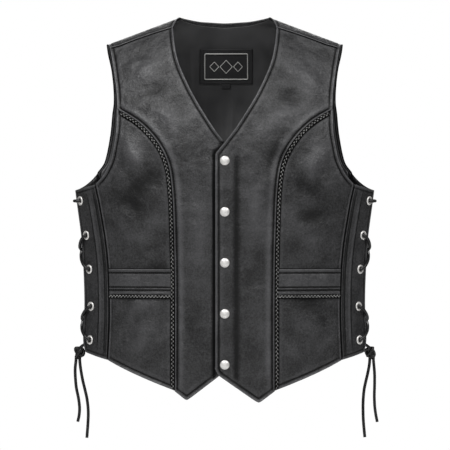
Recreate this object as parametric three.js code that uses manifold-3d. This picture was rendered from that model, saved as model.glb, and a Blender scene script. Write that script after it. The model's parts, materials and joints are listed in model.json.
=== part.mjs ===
// Leather vest of western cut, worn on a general figure: a V neck closed by five snap fasteners,
// fronts cut in a centre and a side panel with a braided trim in the curved seam between them,
// a pocket band on each side panel, and sides that are laced through eyelet strips.
// Sizes are in millimetres. X runs to the wearer's left, the front faces -Y and Z is up.
// The origin is midway between the shoulders, where the wearer carries the vest.
import * as THREE from 'three';
import { mergeVertices } from 'three/addons/utils/BufferGeometryUtils.js';
import Module from 'manifold-3d';

const wasm = await Module();
wasm.setup();

// Driving sizes
const WALL = 2.2; // leather with its backing
const SEAM = 0.3; // clearance between sewn pieces
const OVERLAP_LIFT = 2.8; // how far the upper front stands off the lower one at the placket
const LIFT_FROM = 22; // distance from the centre line where that lift starts to fade
const LIFT_TO = 54;
const BRAID_NEAR = 0.8; // the trim's edges, measured from the curved seam
const BRAID_FAR = 7.2;
const BRAID_HEIGHT = 2.6;
const MARGIN = 7.8; // where the pocket band begins beside the trim
const BAND_THICKNESS = 2;
const LINING = 0.8;
const LINING_GAP = 0.4;
const FACING = 1.2;
const LABEL_GAP = 0.6;
const BRAID_GAP = 0.5;
const EYELET_GAP = 0.35;
const SNAP_GAP = 0.45;
const TAIL_STEPS = 12;
const SNAP_RADIUS = 7.8;
const SNAP_PITCH = 83.3;
const SNAP_TOP = -219.8;
const SNAP_COUNT = 5;
const EYELET_BORE = 4.3;
const EYELET_BARREL = 4.8;
const EYELET_FLANGE = 7.6;
const HOLE_RADIUS = 5.1;
const LACE_RADIUS = 2.5;
const SHOULDER_TOP = 23.6; // height of the shoulder at the neck
const SHOULDER_SLOPE = 0.378;
const NECK_HALF = 78; // half width of the neck at the shoulder
const NECK_RISE = 28;
const SHOULDER_ROUND = 1.7; // exponent of the rounding from chest to shoulder
const CHEST_LINE = -200; // height where the front starts to round towards the shoulder
const BLADE_LINE = -170; // the same at the back
const CLIMB = 230; // length over the back from the blade line to the shoulder
const FORWARD_TOP = 6; // how far the shoulder line lies behind the side line
const SEAM_TOP = -133.3; // height where the curved seam runs out into the armhole
const SIDE_TOP = -256.9; // height where the side panel's armhole ends in the side seam
const BACK_SIDE_TOP = -236.6; // the same at the back
const BRAID_EDGE = 0.4; // the trim's height at its edges, as a part of that along its middle
const POCKET_BRAID_ROWS = [-439, -441.7, -444.4]; // heights of the trim under the pocket band

// The figure that fills the vest, as level sections
const FIGURE = [
  { z: -640, halfWidth: 248, front: 108, back: 92 },
  { z: -540, halfWidth: 247, front: 112, back: 95 },
  { z: -460, halfWidth: 245, front: 112, back: 95 },
  { z: -390, halfWidth: 246, front: 113, back: 98 },
  { z: -320, halfWidth: 252, front: 116, back: 105 },
  { z: -265, halfWidth: 257.5, front: 118, back: 110 },
  { z: -200, halfWidth: 255, front: 116, back: 112 },
  { z: -120, halfWidth: 246, front: 109, back: 110 },
  { z: -60, halfWidth: 233, front: 102, back: 105 },
  { z: 0, halfWidth: 222, front: 95, back: 98 },
  { z: 80, halfWidth: 216, front: 90, back: 92 },
];

// Outlines of the pieces, as distances from the centre line at each height
const NECK_FRONT = [
  { z: 6, x: 86.3 },
  { z: -22, x: 83.2 },
  { z: -52.5, x: 77 },
  { z: -82.5, x: 65 },
  { z: -116, x: 48.4 },
  { z: -164.5, x: 18.8 },
  { z: -187.5, x: 1.6 },
  { z: -208.5, x: -15.6 },
];
const NECK_BACK = [
  { x: 0, z: 17.5 },
  { x: 28, z: 18.3 },
  { x: 43, z: 18.8 },
  { x: 61, z: 21.6 },
  { x: 75, z: 24.6 },
];
const ARMHOLE_FRONT = [
  { z: -28.2, x: 193 },
  { z: -50, x: 188.4 },
  { z: -76.5, x: 184 },
  { z: -104.5, x: 180 },
  { z: -133, x: 178.4 },
  { z: -154, x: 178.9 },
  { z: -172, x: 179.6 },
  { z: -190, x: 182.2 },
  { z: -218.5, x: 188.5 },
  { z: -242, x: 200.3 },
  { z: -257, x: 213.7 },
];
const ARMHOLE_BACK = [
  { z: 30, x: 199 },
  { z: -22, x: 199 },
  { z: -36, x: 197.7 },
  { z: -60.5, x: 193 },
  { z: -89, x: 190.3 },
  { z: -116, x: 190 },
  { z: -135, x: 192.5 },
  { z: -166, x: 195.5 },
  { z: -185, x: 198.4 },
  { z: -206, x: 202.5 },
  { z: -221, x: 207.3 },
  { z: -236.5, x: 218.6 },
];
const CURVED_SEAM = [
  { z: -133.4, x: 177.8 },
  { z: -155.5, x: 142.7 },
  { z: -185.6, x: 113.6 },
  { z: -219.5, x: 94.9 },
  { z: -257, x: 87.4 },
  { z: -315, x: 84 },
  { z: -423, x: 81.9 },
  { z: -594.8, x: 81.9 },
];
const SIDE_SEAM = [
  { z: -236.5, x: 218.6 },
  { z: -257, x: 213.7 },
  { z: -282, x: 207.8 },
  { z: -313, x: 202.1 },
  { z: -350, x: 196.1 },
  { z: -394, x: 191.6 },
  { z: -442, x: 190 },
  { z: -487, x: 190 },
  { z: -548, x: 192.8 },
];
const STRIP_EDGE = [
  { z: -264.7, x: 249.5 },
  { z: -298, x: 245.1 },
  { z: -346, x: 238.8 },
  { z: -396, x: 235.5 },
  { z: -458, x: 233.8 },
  { z: -516, x: 235.9 },
  { z: -540, x: 231.4 },
];

// Rows of the panels: the heights where each row starts and ends, and how far it dips between
const CENTRE_ROWS = [
  { inner: 6, outer: -28.2, dip: -4 },
  { inner: -12, outer: -42, dip: -2.6 },
  { inner: -32, outer: -58, dip: 0 },
  { inner: -52.5, outer: -76.5, dip: 0 },
  { inner: -73, outer: -96, dip: 0 },
  { inner: -91, outer: -115, dip: 0 },
  { inner: -107, outer: -133.4, dip: 0 },
  { inner: -118, outer: -139, dip: 0 },
  { inner: -130, outer: -146, dip: 0 },
  { inner: -143, outer: -155.5, dip: 0 },
  { inner: -158, outer: -168, dip: 0 },
  { inner: -176, outer: -185.6, dip: 0 },
  { inner: -193, outer: -202, dip: 0 },
  { inner: -208.5, outer: -222, dip: 0 },
  { inner: -252, outer: -257, dip: 0 },
  { inner: -290, outer: -290, dip: 0 },
  { inner: -340, outer: -340, dip: 0 },
  { inner: -396.5, outer: -396.5, dip: 0 },
  { inner: -438.5, outer: -438.5, dip: 0 },
  { inner: -478, outer: -482, dip: -4 },
  { inner: -515, outer: -524, dip: -12 },
  { inner: -540, outer: -560, dip: -23 },
  { inner: -561.5, outer: -594.8, dip: -34 },
];
const SIDE_ROWS = [
  { inner: -133.4, outer: -141 },
  { inner: -139, outer: -150 },
  { inner: -146, outer: -160 },
  { inner: -155.5, outer: -171 },
  { inner: -168, outer: -184 },
  { inner: -185.6, outer: -202 },
  { inner: -202, outer: -222 },
  { inner: -222, outer: -242 },
  { inner: -257, outer: -257 },
  { inner: -290, outer: -290 },
  { inner: -340, outer: -340 },
  { inner: -396.5, outer: -396.5 },
  { inner: -417, outer: -417 },
  { inner: -438.5, outer: -438.5 },
  { inner: -444.6, outer: -444.6 },
  { inner: -482, outer: -478 },
  { inner: -524, outer: -506 },
  { inner: -560, outer: -530 },
  { inner: -594.8, outer: -548 },
];
const BAND_TOP_ROW = 11;
const BAND_BOTTOM_ROW = 13;
const FRONT_STRIP_ROWS = [
  { inner: -257, outer: -266.6, dip: -1 },
  { inner: -290, outer: -292, dip: 0 },
  { inner: -340, outer: -340, dip: 0 },
  { inner: -396.5, outer: -396.5, dip: 0 },
  { inner: -438.5, outer: -438.5, dip: 0 },
  { inner: -478, outer: -476, dip: 0 },
  { inner: -506, outer: -503, dip: 0 },
  { inner: -530, outer: -522, dip: 0 },
  { inner: -548, outer: -536, dip: 0 },
];
const BACK_STRIP_ROWS = [
  { inner: -236.5, outer: -264.7, dip: -5 },
  { inner: -257, outer: -272, dip: -2 },
  { inner: -290, outer: -292, dip: 0 },
  { inner: -340, outer: -340, dip: 0 },
  { inner: -396.5, outer: -396.5, dip: 0 },
  { inner: -444, outer: -444, dip: 0 },
  { inner: -500, outer: -500, dip: 0 },
  { inner: -532, outer: -528, dip: 0 },
  { inner: -545, outer: -539, dip: 0 },
];
const BACK_ROWS = [
  { inner: -549, outer: -545 },
  { inner: -536, outer: -532 },
  { inner: -502, outer: -500 },
  { inner: -444, outer: -444 },
  { inner: -396.5, outer: -396.5 },
  { inner: -340, outer: -340 },
  { inner: -290, outer: -290 },
  { inner: -252, outer: -257 },
  { inner: -226, outer: -236.5 },
  { inner: -206, outer: -218 },
  { inner: -186, outer: -194 },
];
const CLIMB_ROWS = [0, 0.2, 0.4, 0.55, 0.7, 0.82, 0.925, 0.94, 1];
const OVER_SHOULDER_ROWS = [0.4, 0.75, 1];
const NECK_COLUMNS = [0, 0.25, 0.5, 0.75];
const RIDGE_ENDS = { neck: 75, tip: 199 };

// Each front: which side it is on, where its hem tip falls across it, and its part names
const FRONTS = [
  { name: 'right', side: -1, tip: 0.79, dip: 0.56, over: false },
  { name: 'left', side: 1, tip: 0.72, dip: 0.75, over: true },
];

// Eyelets down each strip, and their place across it
const EYELETS = [
  { z: -284.4, across: 0.77 },
  { z: -341.8, across: 0.71 },
  { z: -398.3, across: 0.69 },
  { z: -459.7, across: 0.66 },
  { z: -515.5, across: 0.65 },
];

// Largest creases in the cloth: middle, lie in degrees from level, half length and width, height
const CREASES = [
  { face: -1, x: -135, z: -72, turn: 38, length: 52, width: 15, height: 2.6 },
  { face: -1, x: -112, z: -98, turn: 20, length: 30, width: 12, height: -2.2 },
  { face: -1, x: -150, z: -208, turn: -62, length: 55, width: 14, height: 3 },
  { face: -1, x: -152, z: -292, turn: -22, length: 50, width: 13, height: -2.4 },
  { face: -1, x: -135, z: -505, turn: 60, length: 45, width: 15, height: 2 },
  { face: -1, x: 138, z: -80, turn: -34, length: 48, width: 14, height: 2.4 },
  { face: -1, x: 108, z: -112, turn: -18, length: 32, width: 12, height: -2 },
  { face: -1, x: 148, z: -222, turn: 66, length: 58, width: 15, height: 2.8 },
  { face: -1, x: 150, z: -310, turn: 20, length: 46, width: 13, height: -2.2 },
  { face: -1, x: 140, z: -498, turn: -56, length: 48, width: 14, height: 2.2 },
  { face: 1, x: -120, z: -150, turn: 52, length: 70, width: 17, height: 3 },
  { face: 1, x: 112, z: -168, turn: -56, length: 64, width: 16, height: 2.8 },
  { face: 1, x: -60, z: -330, turn: 12, length: 80, width: 16, height: -2.6 },
  { face: 1, x: 70, z: -372, turn: -14, length: 70, width: 15, height: 2.4 },
  { face: 1, x: -130, z: -430, turn: 30, length: 60, width: 16, height: 2.2 },
  { face: 1, x: 125, z: -470, turn: -40, length: 55, width: 15, height: -2.2 },
];

// Free ends of the laces, from the knot down
const TAILS = [
  {
    name: 'lace_tail_right_short',
    route: [
      [-249.8, 0, -549.5], [-250, 0, -553], [-250.6, -1, -559], [-251.2, -2, -567], [-250.7, -2.5, -582],
      [-249.2, -2, -598], [-245.6, -1, -616], [-243.9, 0, -632], [-244.8, 1, -645], [-247, 2, -655],
    ],
  },
  {
    name: 'lace_tail_right_long',
    route: [
      [-243.6, 0, -549.5], [-243.5, 0, -553], [-242.8, 0.5, -561], [-241.2, 1, -572], [-238.6, 1, -586],
      [-235.4, 0, -599], [-231.3, -1, -617], [-229.2, -1.5, -638], [-229.8, -1, -658], [-231.6, 0, -682],
    ],
  },
  {
    name: 'lace_tail_left_short',
    route: [
      [249.8, 0, -549.5], [249.9, 0, -553], [250.6, -1, -561], [251.6, -1.5, -575], [251.6, -1.5, -594],
      [251.2, -1, -612], [252, 0, -630], [253.8, 1, -643], [256.3, 2, -655.5],
    ],
  },
  {
    name: 'lace_tail_left_long',
    route: [
      [243.6, 0, -549.5], [243.5, 0, -553], [242.5, 0.5, -562], [240, 1, -575], [236.9, 1, -588], [234.2, 0.5, -601],
      [232.4, -0.5, -621], [232.3, -1, -640], [232.9, -1, -655], [235.3, 0, -681],
    ],
  },
];
const KNOT = { x: 244.2, y: 0, z: -538, halfHeight: 11, flatten: 0.85 };

// The label inside the back neck, and the size tab under it
const LABEL = { left: -43.6, right: 48.7, top: -22, bottom: -81, thickness: 1.2 };
const TAB = { left: -5, right: 10.2, top: -81.5, bottom: -89, thickness: 0.8 };

const LEATHER = { color: 0x2b2b2d, roughness: 0.55, metalness: 0 };
const BRAIDED = { color: 0x1b1b1c, roughness: 0.6, metalness: 0 };
const SATIN = { color: 0x141416, roughness: 0.45, metalness: 0 };
const NICKEL = { color: 0xc9c9cb, roughness: 0.28, metalness: 1 };
const WOVEN = { color: 0x0d0d0e, roughness: 0.8, metalness: 0 };

const vest = new THREE.Group();

function lerp(from, to, t) {
  return from + (to - from) * t;
}

// A smooth curve through one column of a table, read along another
function curveOf(rows, along, column) {
  const sorted = [...rows].sort((a, b) => a[along] - b[along]);
  const last = sorted.length - 1;
  const slope = (i) => {
    const before = sorted[Math.max(i - 1, 0)];
    const after = sorted[Math.min(i + 1, last)];
    return (after[column] - before[column]) / (after[along] - before[along]);
  };
  return (at) => {
    if (at <= sorted[0][along]) return sorted[0][column];
    if (at >= sorted[last][along]) return sorted[last][column];
    const i = sorted.findIndex((row) => row[along] > at) - 1;
    const span = sorted[i + 1][along] - sorted[i][along];
    const t = (at - sorted[i][along]) / span;
    const start = (1 + 2 * t) * (1 - t) ** 2 * sorted[i][column];
    const end = t * t * (3 - 2 * t) * sorted[i + 1][column];
    const lean = span * (t * (1 - t) ** 2 * slope(i) + t * t * (t - 1) * slope(i + 1));
    return start + end + lean;
  };
}

const halfWidth = curveOf(FIGURE, 'z', 'halfWidth');
const frontDepth = curveOf(FIGURE, 'z', 'front');
const backDepth = curveOf(FIGURE, 'z', 'back');
const neckFront = curveOf(NECK_FRONT, 'z', 'x');
const neckBack = curveOf(NECK_BACK, 'x', 'z');
const armholeFront = curveOf(ARMHOLE_FRONT, 'z', 'x');
const armholeBack = curveOf(ARMHOLE_BACK, 'z', 'x');
const curvedSeam = curveOf(CURVED_SEAM, 'z', 'x');
const sideSeam = curveOf(SIDE_SEAM, 'z', 'x');
const stripEdge = curveOf(STRIP_EDGE, 'z', 'x');

// Height of the shoulder line, which rises into the neck
function ridge(x) {
  const soft = Math.hypot(x, 12);
  const inside = Math.min(1, soft / NECK_HALF);
  return SHOULDER_TOP - SHOULDER_SLOPE * (soft - NECK_HALF) + NECK_RISE * (1 - inside ** 2) ** 2;
}

// How far the middle of a section lies behind the side line
function middle(z) {
  return FORWARD_TOP * THREE.MathUtils.smoothstep(z, -265, -50);
}

// Point of the figure at a bearing from the centre line, in front (-1) or behind (1)
function figurePoint(face, bearing, z) {
  const x = halfWidth(z) * Math.sin(bearing);
  const start = face < 0 ? CHEST_LINE : BLADE_LINE;
  const share = THREE.MathUtils.clamp((z - start) / (ridge(x) - start), 0, 1);
  const fall = (1 - share ** SHOULDER_ROUND) ** (1 / SHOULDER_ROUND);
  const depth = (face < 0 ? frontDepth(z) : backDepth(z)) * Math.cos(bearing) * fall;
  return new THREE.Vector3(x, middle(z) + face * depth, z);
}

// Point of the figure over the shoulder: lean is a quarter turn at the chest or blade line,
// zero on the shoulder line, positive behind it and negative in front
function shoulderPoint(x, lean) {
  const face = lean < 0 ? -1 : 1;
  const start = face < 0 ? CHEST_LINE : BLADE_LINE;
  const power = 2 / SHOULDER_ROUND;
  const z = start + (ridge(x) - start) * Math.cos(lean) ** power;
  const section = Math.sqrt(1 - (x / halfWidth(z)) ** 2);
  const depth = (face < 0 ? frontDepth(z) : backDepth(z)) * section * Math.sin(Math.abs(lean)) ** power;
  return new THREE.Vector3(x, middle(z) + face * depth, z);
}

function leanAt(face, x, z) {
  const start = face < 0 ? CHEST_LINE : BLADE_LINE;
  const share = THREE.MathUtils.clamp((z - start) / (ridge(x) - start), 0, 1);
  return face * Math.acos(share ** (SHOULDER_ROUND / 2));
}

// Point of the back at a distance climbed above the blade line, or below it where negative
function backPoint(x, climb) {
  if (climb <= 0) {
    const z = BLADE_LINE + climb;
    return figurePoint(1, Math.asin(x / halfWidth(z)), z);
  }
  return shoulderPoint(x, (Math.PI / 2) * (1 - climb / CLIMB));
}

function climbAt(x, z) {
  if (z <= BLADE_LINE) return z - BLADE_LINE;
  return CLIMB * (1 - leanAt(1, x, z) / (Math.PI / 2));
}

// Height of the creases at a place on the front or the back
function creaseHeight(face, x, z) {
  let height = 0;
  for (const crease of CREASES.filter((row) => row.face === face)) {
    const turn = THREE.MathUtils.degToRad(crease.turn);
    const along = ((x - crease.x) * Math.cos(turn) + (z - crease.z) * Math.sin(turn)) / crease.length;
    const across = ((z - crease.z) * Math.cos(turn) - (x - crease.x) * Math.sin(turn)) / crease.width;
    const swell = Math.cos((along * Math.PI) / 2) ** 2 * Math.exp(-across * across);
    if (Math.abs(along) < 1) height += crease.height * swell;
  }
  return height;
}

// A place on the cloth: its point with the creases, and the way out of the cloth there
function clothPlace(surface, u, v, stepU, stepV) {
  const at = surface(u, v);
  const alongU = surface(u + stepU, v).sub(surface(u - stepU, v));
  const alongV = surface(u, v + stepV).sub(surface(u, v - stepV));
  const out = alongU.cross(alongV).normalize();
  const face = at.y < middle(at.z) ? -1 : 1;
  const outward = new THREE.Vector3(at.x, 2 * (at.y - middle(at.z)), Math.max(0, at.z - BLADE_LINE) / 2);
  if (out.dot(outward) < 0) out.negate();
  at.addScaledVector(out, creaseHeight(face, at.x, at.z));
  return { at, out };
}

function roundPlace(face, bearing, z) {
  return clothPlace((b, h) => figurePoint(face, b, h), bearing, z, 0.002, 0.3);
}

function bearingAt(x, z) {
  return Math.asin(x / halfWidth(z));
}

function levelPlace(face, x, z) {
  return roundPlace(face, bearingAt(x, z), z);
}

function backPlace(x, climb) {
  return clothPlace(backPoint, x, climb, 0.5, 0.5);
}

// A closed wall on a grid of places, between two distances from the cloth
function wall(grid, outer, inner, kept = () => true) {
  const across = grid[0].length;
  const count = grid.length * across;
  const distance = (value, i, j) => (typeof value === 'function' ? value(i, j) : value);
  const points = [];
  for (const side of [outer, inner]) {
    grid.forEach((row, i) => row.forEach((place, j) => {
      points.push(place.at.clone().addScaledVector(place.out, distance(side, i, j)));
    }));
  }
  const faces = [];
  const isCell = (i, j) => i >= 0 && j >= 0 && i < grid.length - 1 && j < across - 1 && kept(i, j);
  const rim = (a, b) => faces.push([a, b + count, b], [a, a + count, b + count]);
  for (let i = 0; i < grid.length - 1; i += 1) {
    for (let j = 0; j < across - 1; j += 1) {
      if (!isCell(i, j)) continue;
      const a = i * across + j;
      const b = a + 1;
      const c = a + across;
      const d = c + 1;
      faces.push([a, b, d], [a, d, c]);
      faces.push([a + count, d + count, b + count], [a + count, c + count, d + count]);
      if (!isCell(i - 1, j)) rim(a, b);
      if (!isCell(i + 1, j)) rim(d, c);
      if (!isCell(i, j - 1)) rim(c, a);
      if (!isCell(i, j + 1)) rim(b, d);
    }
  }
  return closedGeometry(points, faces);
}

// Drops unused points and turns the faces outwards
function closedGeometry(points, faces) {
  const used = new Map();
  const positions = [];
  const index = [];
  let volume = 0;
  for (const [a, b, c] of faces) {
    volume += points[a].dot(points[b].clone().cross(points[c]));
  }
  for (const face of faces) {
    const turned = volume < 0 ? [face[0], face[2], face[1]] : face;
    for (const corner of turned) {
      if (!used.has(corner)) {
        used.set(corner, used.size);
        positions.push(...points[corner].toArray());
      }
      index.push(used.get(corner));
    }
  }
  const geometry = new THREE.BufferGeometry();
  geometry.setAttribute('position', new THREE.Float32BufferAttribute(positions, 3));
  geometry.setIndex(index);
  return geometry;
}

function solidOf(geometry) {
  const bare = geometry.clone();
  bare.deleteAttribute('normal');
  bare.deleteAttribute('uv');
  const merged = mergeVertices(bare, 1e-4);
  const mesh = { numProp: 3, vertProperties: merged.attributes.position.array, triVerts: merged.index.array };
  return new wasm.Manifold(new wasm.Mesh(mesh));
}

function geometryOf(solid) {
  const mesh = solid.getMesh();
  const geometry = new THREE.BufferGeometry();
  geometry.setAttribute('position', new THREE.BufferAttribute(new Float32Array(mesh.vertProperties), 3));
  geometry.setIndex(new THREE.BufferAttribute(new Uint32Array(mesh.triVerts), 1));
  return geometry;
}

// A turned piece stood on a place, its axis along the way out
function stand(geometry, place, height = 0) {
  const turn = new THREE.Quaternion().setFromUnitVectors(new THREE.Vector3(0, 1, 0), place.out);
  const move = place.at.clone().addScaledVector(place.out, height);
  return geometry.applyMatrix4(new THREE.Matrix4().compose(move, turn, new THREE.Vector3(1, 1, 1)));
}

function turned(profile, segments) {
  return new THREE.LatheGeometry(profile.map(([r, h]) => new THREE.Vector2(r, h)), segments);
}

function add(name, geometry, finish) {
  const mesh = new THREE.Mesh(geometry, new THREE.MeshStandardMaterial(finish));
  mesh.name = name;
  vest.add(mesh);
}

// Columns across a centre panel, with one on the hem tip
function centreColumns(tip) {
  return [0, 0.2 * tip, 0.4 * tip, 0.6 * tip, 0.8 * tip, tip, (1 + tip) / 2, 1];
}

function centreGrid(front) {
  const outerEdge = (z) => (z > SEAM_TOP ? armholeFront(z) : curvedSeam(z));
  return CENTRE_ROWS.map((row) => {
    const start = bearingAt(neckFront(row.inner), row.inner);
    const end = bearingAt(outerEdge(row.outer), row.outer);
    return centreColumns(front.tip).map((u) => {
      const tent = Math.min(u / front.tip, (1 - u) / (1 - front.tip));
      const z = lerp(row.inner, row.outer, u) + row.dip * front.dip * tent;
      return roundPlace(-1, front.side * lerp(start, end, u), z);
    });
  });
}

// Lift of the upper front over the lower one, fading away from the placket
function overlapLift(place) {
  return OVERLAP_LIFT * (1 - THREE.MathUtils.smoothstep(place.at.x, LIFT_FROM, LIFT_TO));
}

// A place beside the curved seam, at a distance from it over the side panel
function besideSeam(side, z, distance) {
  const slope = (curvedSeam(z + 1) - curvedSeam(z - 1)) / 2;
  const length = Math.hypot(1, slope);
  const height = z - (distance * slope) / length;
  return levelPlace(-1, side * (curvedSeam(z) + distance / length), height);
}

function sideGrid(front) {
  const outerEdge = (z) => (z > SIDE_TOP ? armholeFront(z) : sideSeam(z) - SEAM / 2);
  return SIDE_ROWS.map((row, i) => {
    const end = outerEdge(row.outer);
    const edge = levelPlace(-1, front.side * end, row.outer);
    const seam = besideSeam(front.side, row.inner, SEAM);
    const margin = i === 0 ? null : besideSeam(front.side, row.inner, MARGIN);
    const first = i === 0 ? seam : margin;
    const share = i === 0 ? [0.2, 0.4, 0.6, 0.8] : [0, 0.25, 0.5, 0.75];
    const between = share.map((u) => {
      const z = lerp(first.at.z, row.outer, u);
      const from = bearingAt(Math.abs(first.at.x), first.at.z);
      return roundPlace(-1, front.side * lerp(from, bearingAt(end, row.outer), u), z);
    });
    return [seam, ...between, edge];
  });
}

function stripGrid(face, side, rows) {
  const columns = [0, 0.35, 0.7, 1];
  return rows.map((row) => {
    const start = bearingAt(sideSeam(row.inner) + SEAM / 2, row.inner);
    const end = bearingAt(stripEdge(row.outer), row.outer);
    return columns.map((u) => {
      const z = lerp(row.inner, row.outer, u) + row.dip * 4 * u * (1 - u);
      return roundPlace(face, side * lerp(start, end, u), z);
    });
  });
}

// Columns of half the back: up to the neck corner, then those of the front beside it
function backColumns(front) {
  const neck = RIDGE_ENDS.neck / RIDGE_ENDS.tip;
  return [...NECK_COLUMNS.map((u) => u * neck), ...centreColumns(front.tip).map((u) => lerp(neck, 1, u))];
}

// Where the back ends at the top: the neck edge, and the shoulder line beyond it
function backTop(u) {
  const x = u * RIDGE_ENDS.tip;
  return x < RIDGE_ENDS.neck ? climbAt(x, neckBack(x)) : CLIMB;
}

// Places down half the back, from the hem to the top
function backHalf(front) {
  const columns = backColumns(front);
  const lower = BACK_ROWS.map((row) => {
    const edge = row.outer > BACK_SIDE_TOP ? armholeBack(row.outer) : sideSeam(row.outer) - SEAM / 2;
    return columns.map((u) => backPlace(front.side * u * edge, lerp(row.inner, row.outer, u) - BLADE_LINE));
  });
  const upper = CLIMB_ROWS.map((share) => {
    let edge = RIDGE_ENDS.tip;
    for (let i = 0; i < 4; i += 1) edge = armholeBack(backPoint(edge, share * CLIMB).z);
    return columns.map((u) => backPlace(front.side * u * edge, share * backTop(u)));
  });
  return [...lower, ...upper];
}

// Places from the shoulder line forward and down to the front's shoulder seam
function overShoulder(front) {
  const seam = centreGrid(front)[0];
  const columns = centreColumns(front.tip);
  return OVER_SHOULDER_ROWS.map((share) => columns.map((q, j) => {
    const start = front.side * lerp(RIDGE_ENDS.neck, RIDGE_ENDS.tip, q);
    const end = leanAt(-1, seam[j].at.x, seam[j].at.z + SEAM);
    return clothPlace(shoulderPoint, lerp(start, seam[j].at.x, share), end * share, 0.5, 0.01);
  }));
}

const SHOULDER_COLUMNS = centreColumns(0.5).length;

// The whole back in one grid; over the shoulders only the outer columns are cloth
function backGrid() {
  const [right, left] = FRONTS;
  const leftHalf = backHalf(left);
  const body = backHalf(right).map((row, i) => [...row.reverse(), ...leftHalf[i].slice(1)]);
  const filler = body[body.length - 1].slice(SHOULDER_COLUMNS, -SHOULDER_COLUMNS);
  const overLeft = overShoulder(left);
  const over = overShoulder(right).map((row, i) => [...row.reverse(), ...filler, ...overLeft[i]]);
  return [...body, ...over];
}

function isBackCloth(grid) {
  const bodyRows = BACK_ROWS.length + CLIMB_ROWS.length - 1;
  const across = grid[0].length - 1;
  return (i, j) => i < bodyRows || j < SHOULDER_COLUMNS - 1 || j >= across - SHOULDER_COLUMNS + 1;
}

// Places of an eyelet on a strip
function eyeletPlace(face, side, eyelet) {
  const start = bearingAt(sideSeam(eyelet.z), eyelet.z);
  const end = bearingAt(stripEdge(eyelet.z), eyelet.z);
  return roundPlace(face, side * lerp(start, end, eyelet.across), eyelet.z);
}

function addFront(front) {
  const grid = centreGrid(front);
  const lift = (extra) => (i, j) => extra + (front.over ? overlapLift(grid[i][j]) : 0);
  add(`front_${front.name}`, wall(grid, lift(0), lift(-WALL)), LEATHER);

  const side = sideGrid(front);
  add(`side_panel_${front.name}`, wall(side, 0, -WALL), LEATHER);

  const band = side.slice(BAND_TOP_ROW, BAND_BOTTOM_ROW + 1).map((row) => row.slice(1));
  add(`pocket_band_${front.name}`, wall(band, SEAM + BAND_THICKNESS, SEAM), LEATHER);

  const bandEdge = side[BAND_BOTTOM_ROW].slice(1);
  const trim = POCKET_BRAID_ROWS.map((z) => bandEdge.map((place) => levelPlace(-1, place.at.x, z)));
  const trimHeight = (i) => SEAM + BRAID_HEIGHT * (i === 1 ? 1 : BRAID_EDGE);
  add(`pocket_braid_${front.name}`, wall(trim, trimHeight, SEAM), BRAIDED);

  const middleLine = (BRAID_NEAR + BRAID_FAR) / 2;
  const distances = [BRAID_NEAR, middleLine, BRAID_FAR];
  const braid = SIDE_ROWS.map((row) => distances.map((d) => besideSeam(front.side, row.inner, d)));
  const braidHeight = (i, j) => BRAID_GAP + BRAID_HEIGHT * (j === 1 ? 1 : BRAID_EDGE);
  add(`seam_braid_${front.name}`, wall(braid.slice(1), braidHeight, BRAID_GAP), BRAIDED);
}

// A lacing strip with its holes, and the eyelets in them
function addStrip(face, front, rows) {
  const where = face < 0 ? 'front' : 'back';
  let strip = solidOf(wall(stripGrid(face, front.side, rows), 0, -WALL));
  EYELETS.forEach((eyelet, i) => {
    const place = eyeletPlace(face, front.side, eyelet);
    const hole = new THREE.CylinderGeometry(HOLE_RADIUS, HOLE_RADIUS, 6 * WALL, 10);
    strip = strip.subtract(solidOf(stand(hole, place)));
    const under = -WALL - EYELET_GAP;
    // Radius and height of each corner, from the rolled top out over the flange and back up the bore
    const profile = [
      [EYELET_BORE, 1.1], [5.4, 1.6], [6.8, 1.4], [EYELET_FLANGE, EYELET_GAP],
      [EYELET_BARREL, EYELET_GAP], [EYELET_BARREL, under], [EYELET_BORE, under], [EYELET_BORE, 1.1],
    ];
    add(`eyelet_${where}_${front.name}_${i + 1}`, stand(turned(profile.reverse(), 10), place), NICKEL);
  });
  add(`lacing_strip_${where}_${front.name}`, geometryOf(strip), LEATHER);
}

function addBack() {
  const grid = backGrid();
  const bodyRows = BACK_ROWS.length + CLIMB_ROWS.length;
  const across = grid[0].length;
  add('back', wall(grid, 0, -WALL, isBackCloth(grid)), LEATHER);

  const topRows = grid.slice(bodyRows - 2, bodyRows);
  const facing = topRows.map((row) => row.slice(SHOULDER_COLUMNS - 1, 1 - SHOULDER_COLUMNS));
  add('neck_facing', wall(facing, -WALL - SEAM, -WALL - SEAM - FACING), LEATHER);

  const lining = grid.slice(1, bodyRows - 2).map((row) => row.slice(1, across - 1));
  add('back_lining', wall(lining, -WALL - LINING_GAP, -WALL - LINING_GAP - LINING), SATIN);
}

// Where a value falls in a rising list, as a whole and a part of the way to the next
function positionIn(values, value) {
  const i = values.findIndex((from, k) => from <= value && value <= values[k + 1]);
  return i + (value - values[i]) / (values[i + 1] - values[i]);
}

// Positions from one place in a grid to another, with every grid line between them
function linesBetween(from, to) {
  const lines = [from];
  for (let line = Math.floor(from) + 1; line < to; line += 1) lines.push(line);
  return [...lines, to];
}

function placeInGrid(grid, i, j) {
  const corner = (a, b) => grid[Math.min(a, grid.length - 1)][b];
  const [row, column] = [Math.floor(i), Math.floor(j)];
  const mix = (key) => corner(row, column)[key].clone()
    .lerp(corner(row, column + 1)[key], j - column)
    .lerp(corner(row + 1, column)[key].clone().lerp(corner(row + 1, column + 1)[key], j - column), i - row);
  return { at: mix('at'), out: mix('out').normalize() };
}

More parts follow.
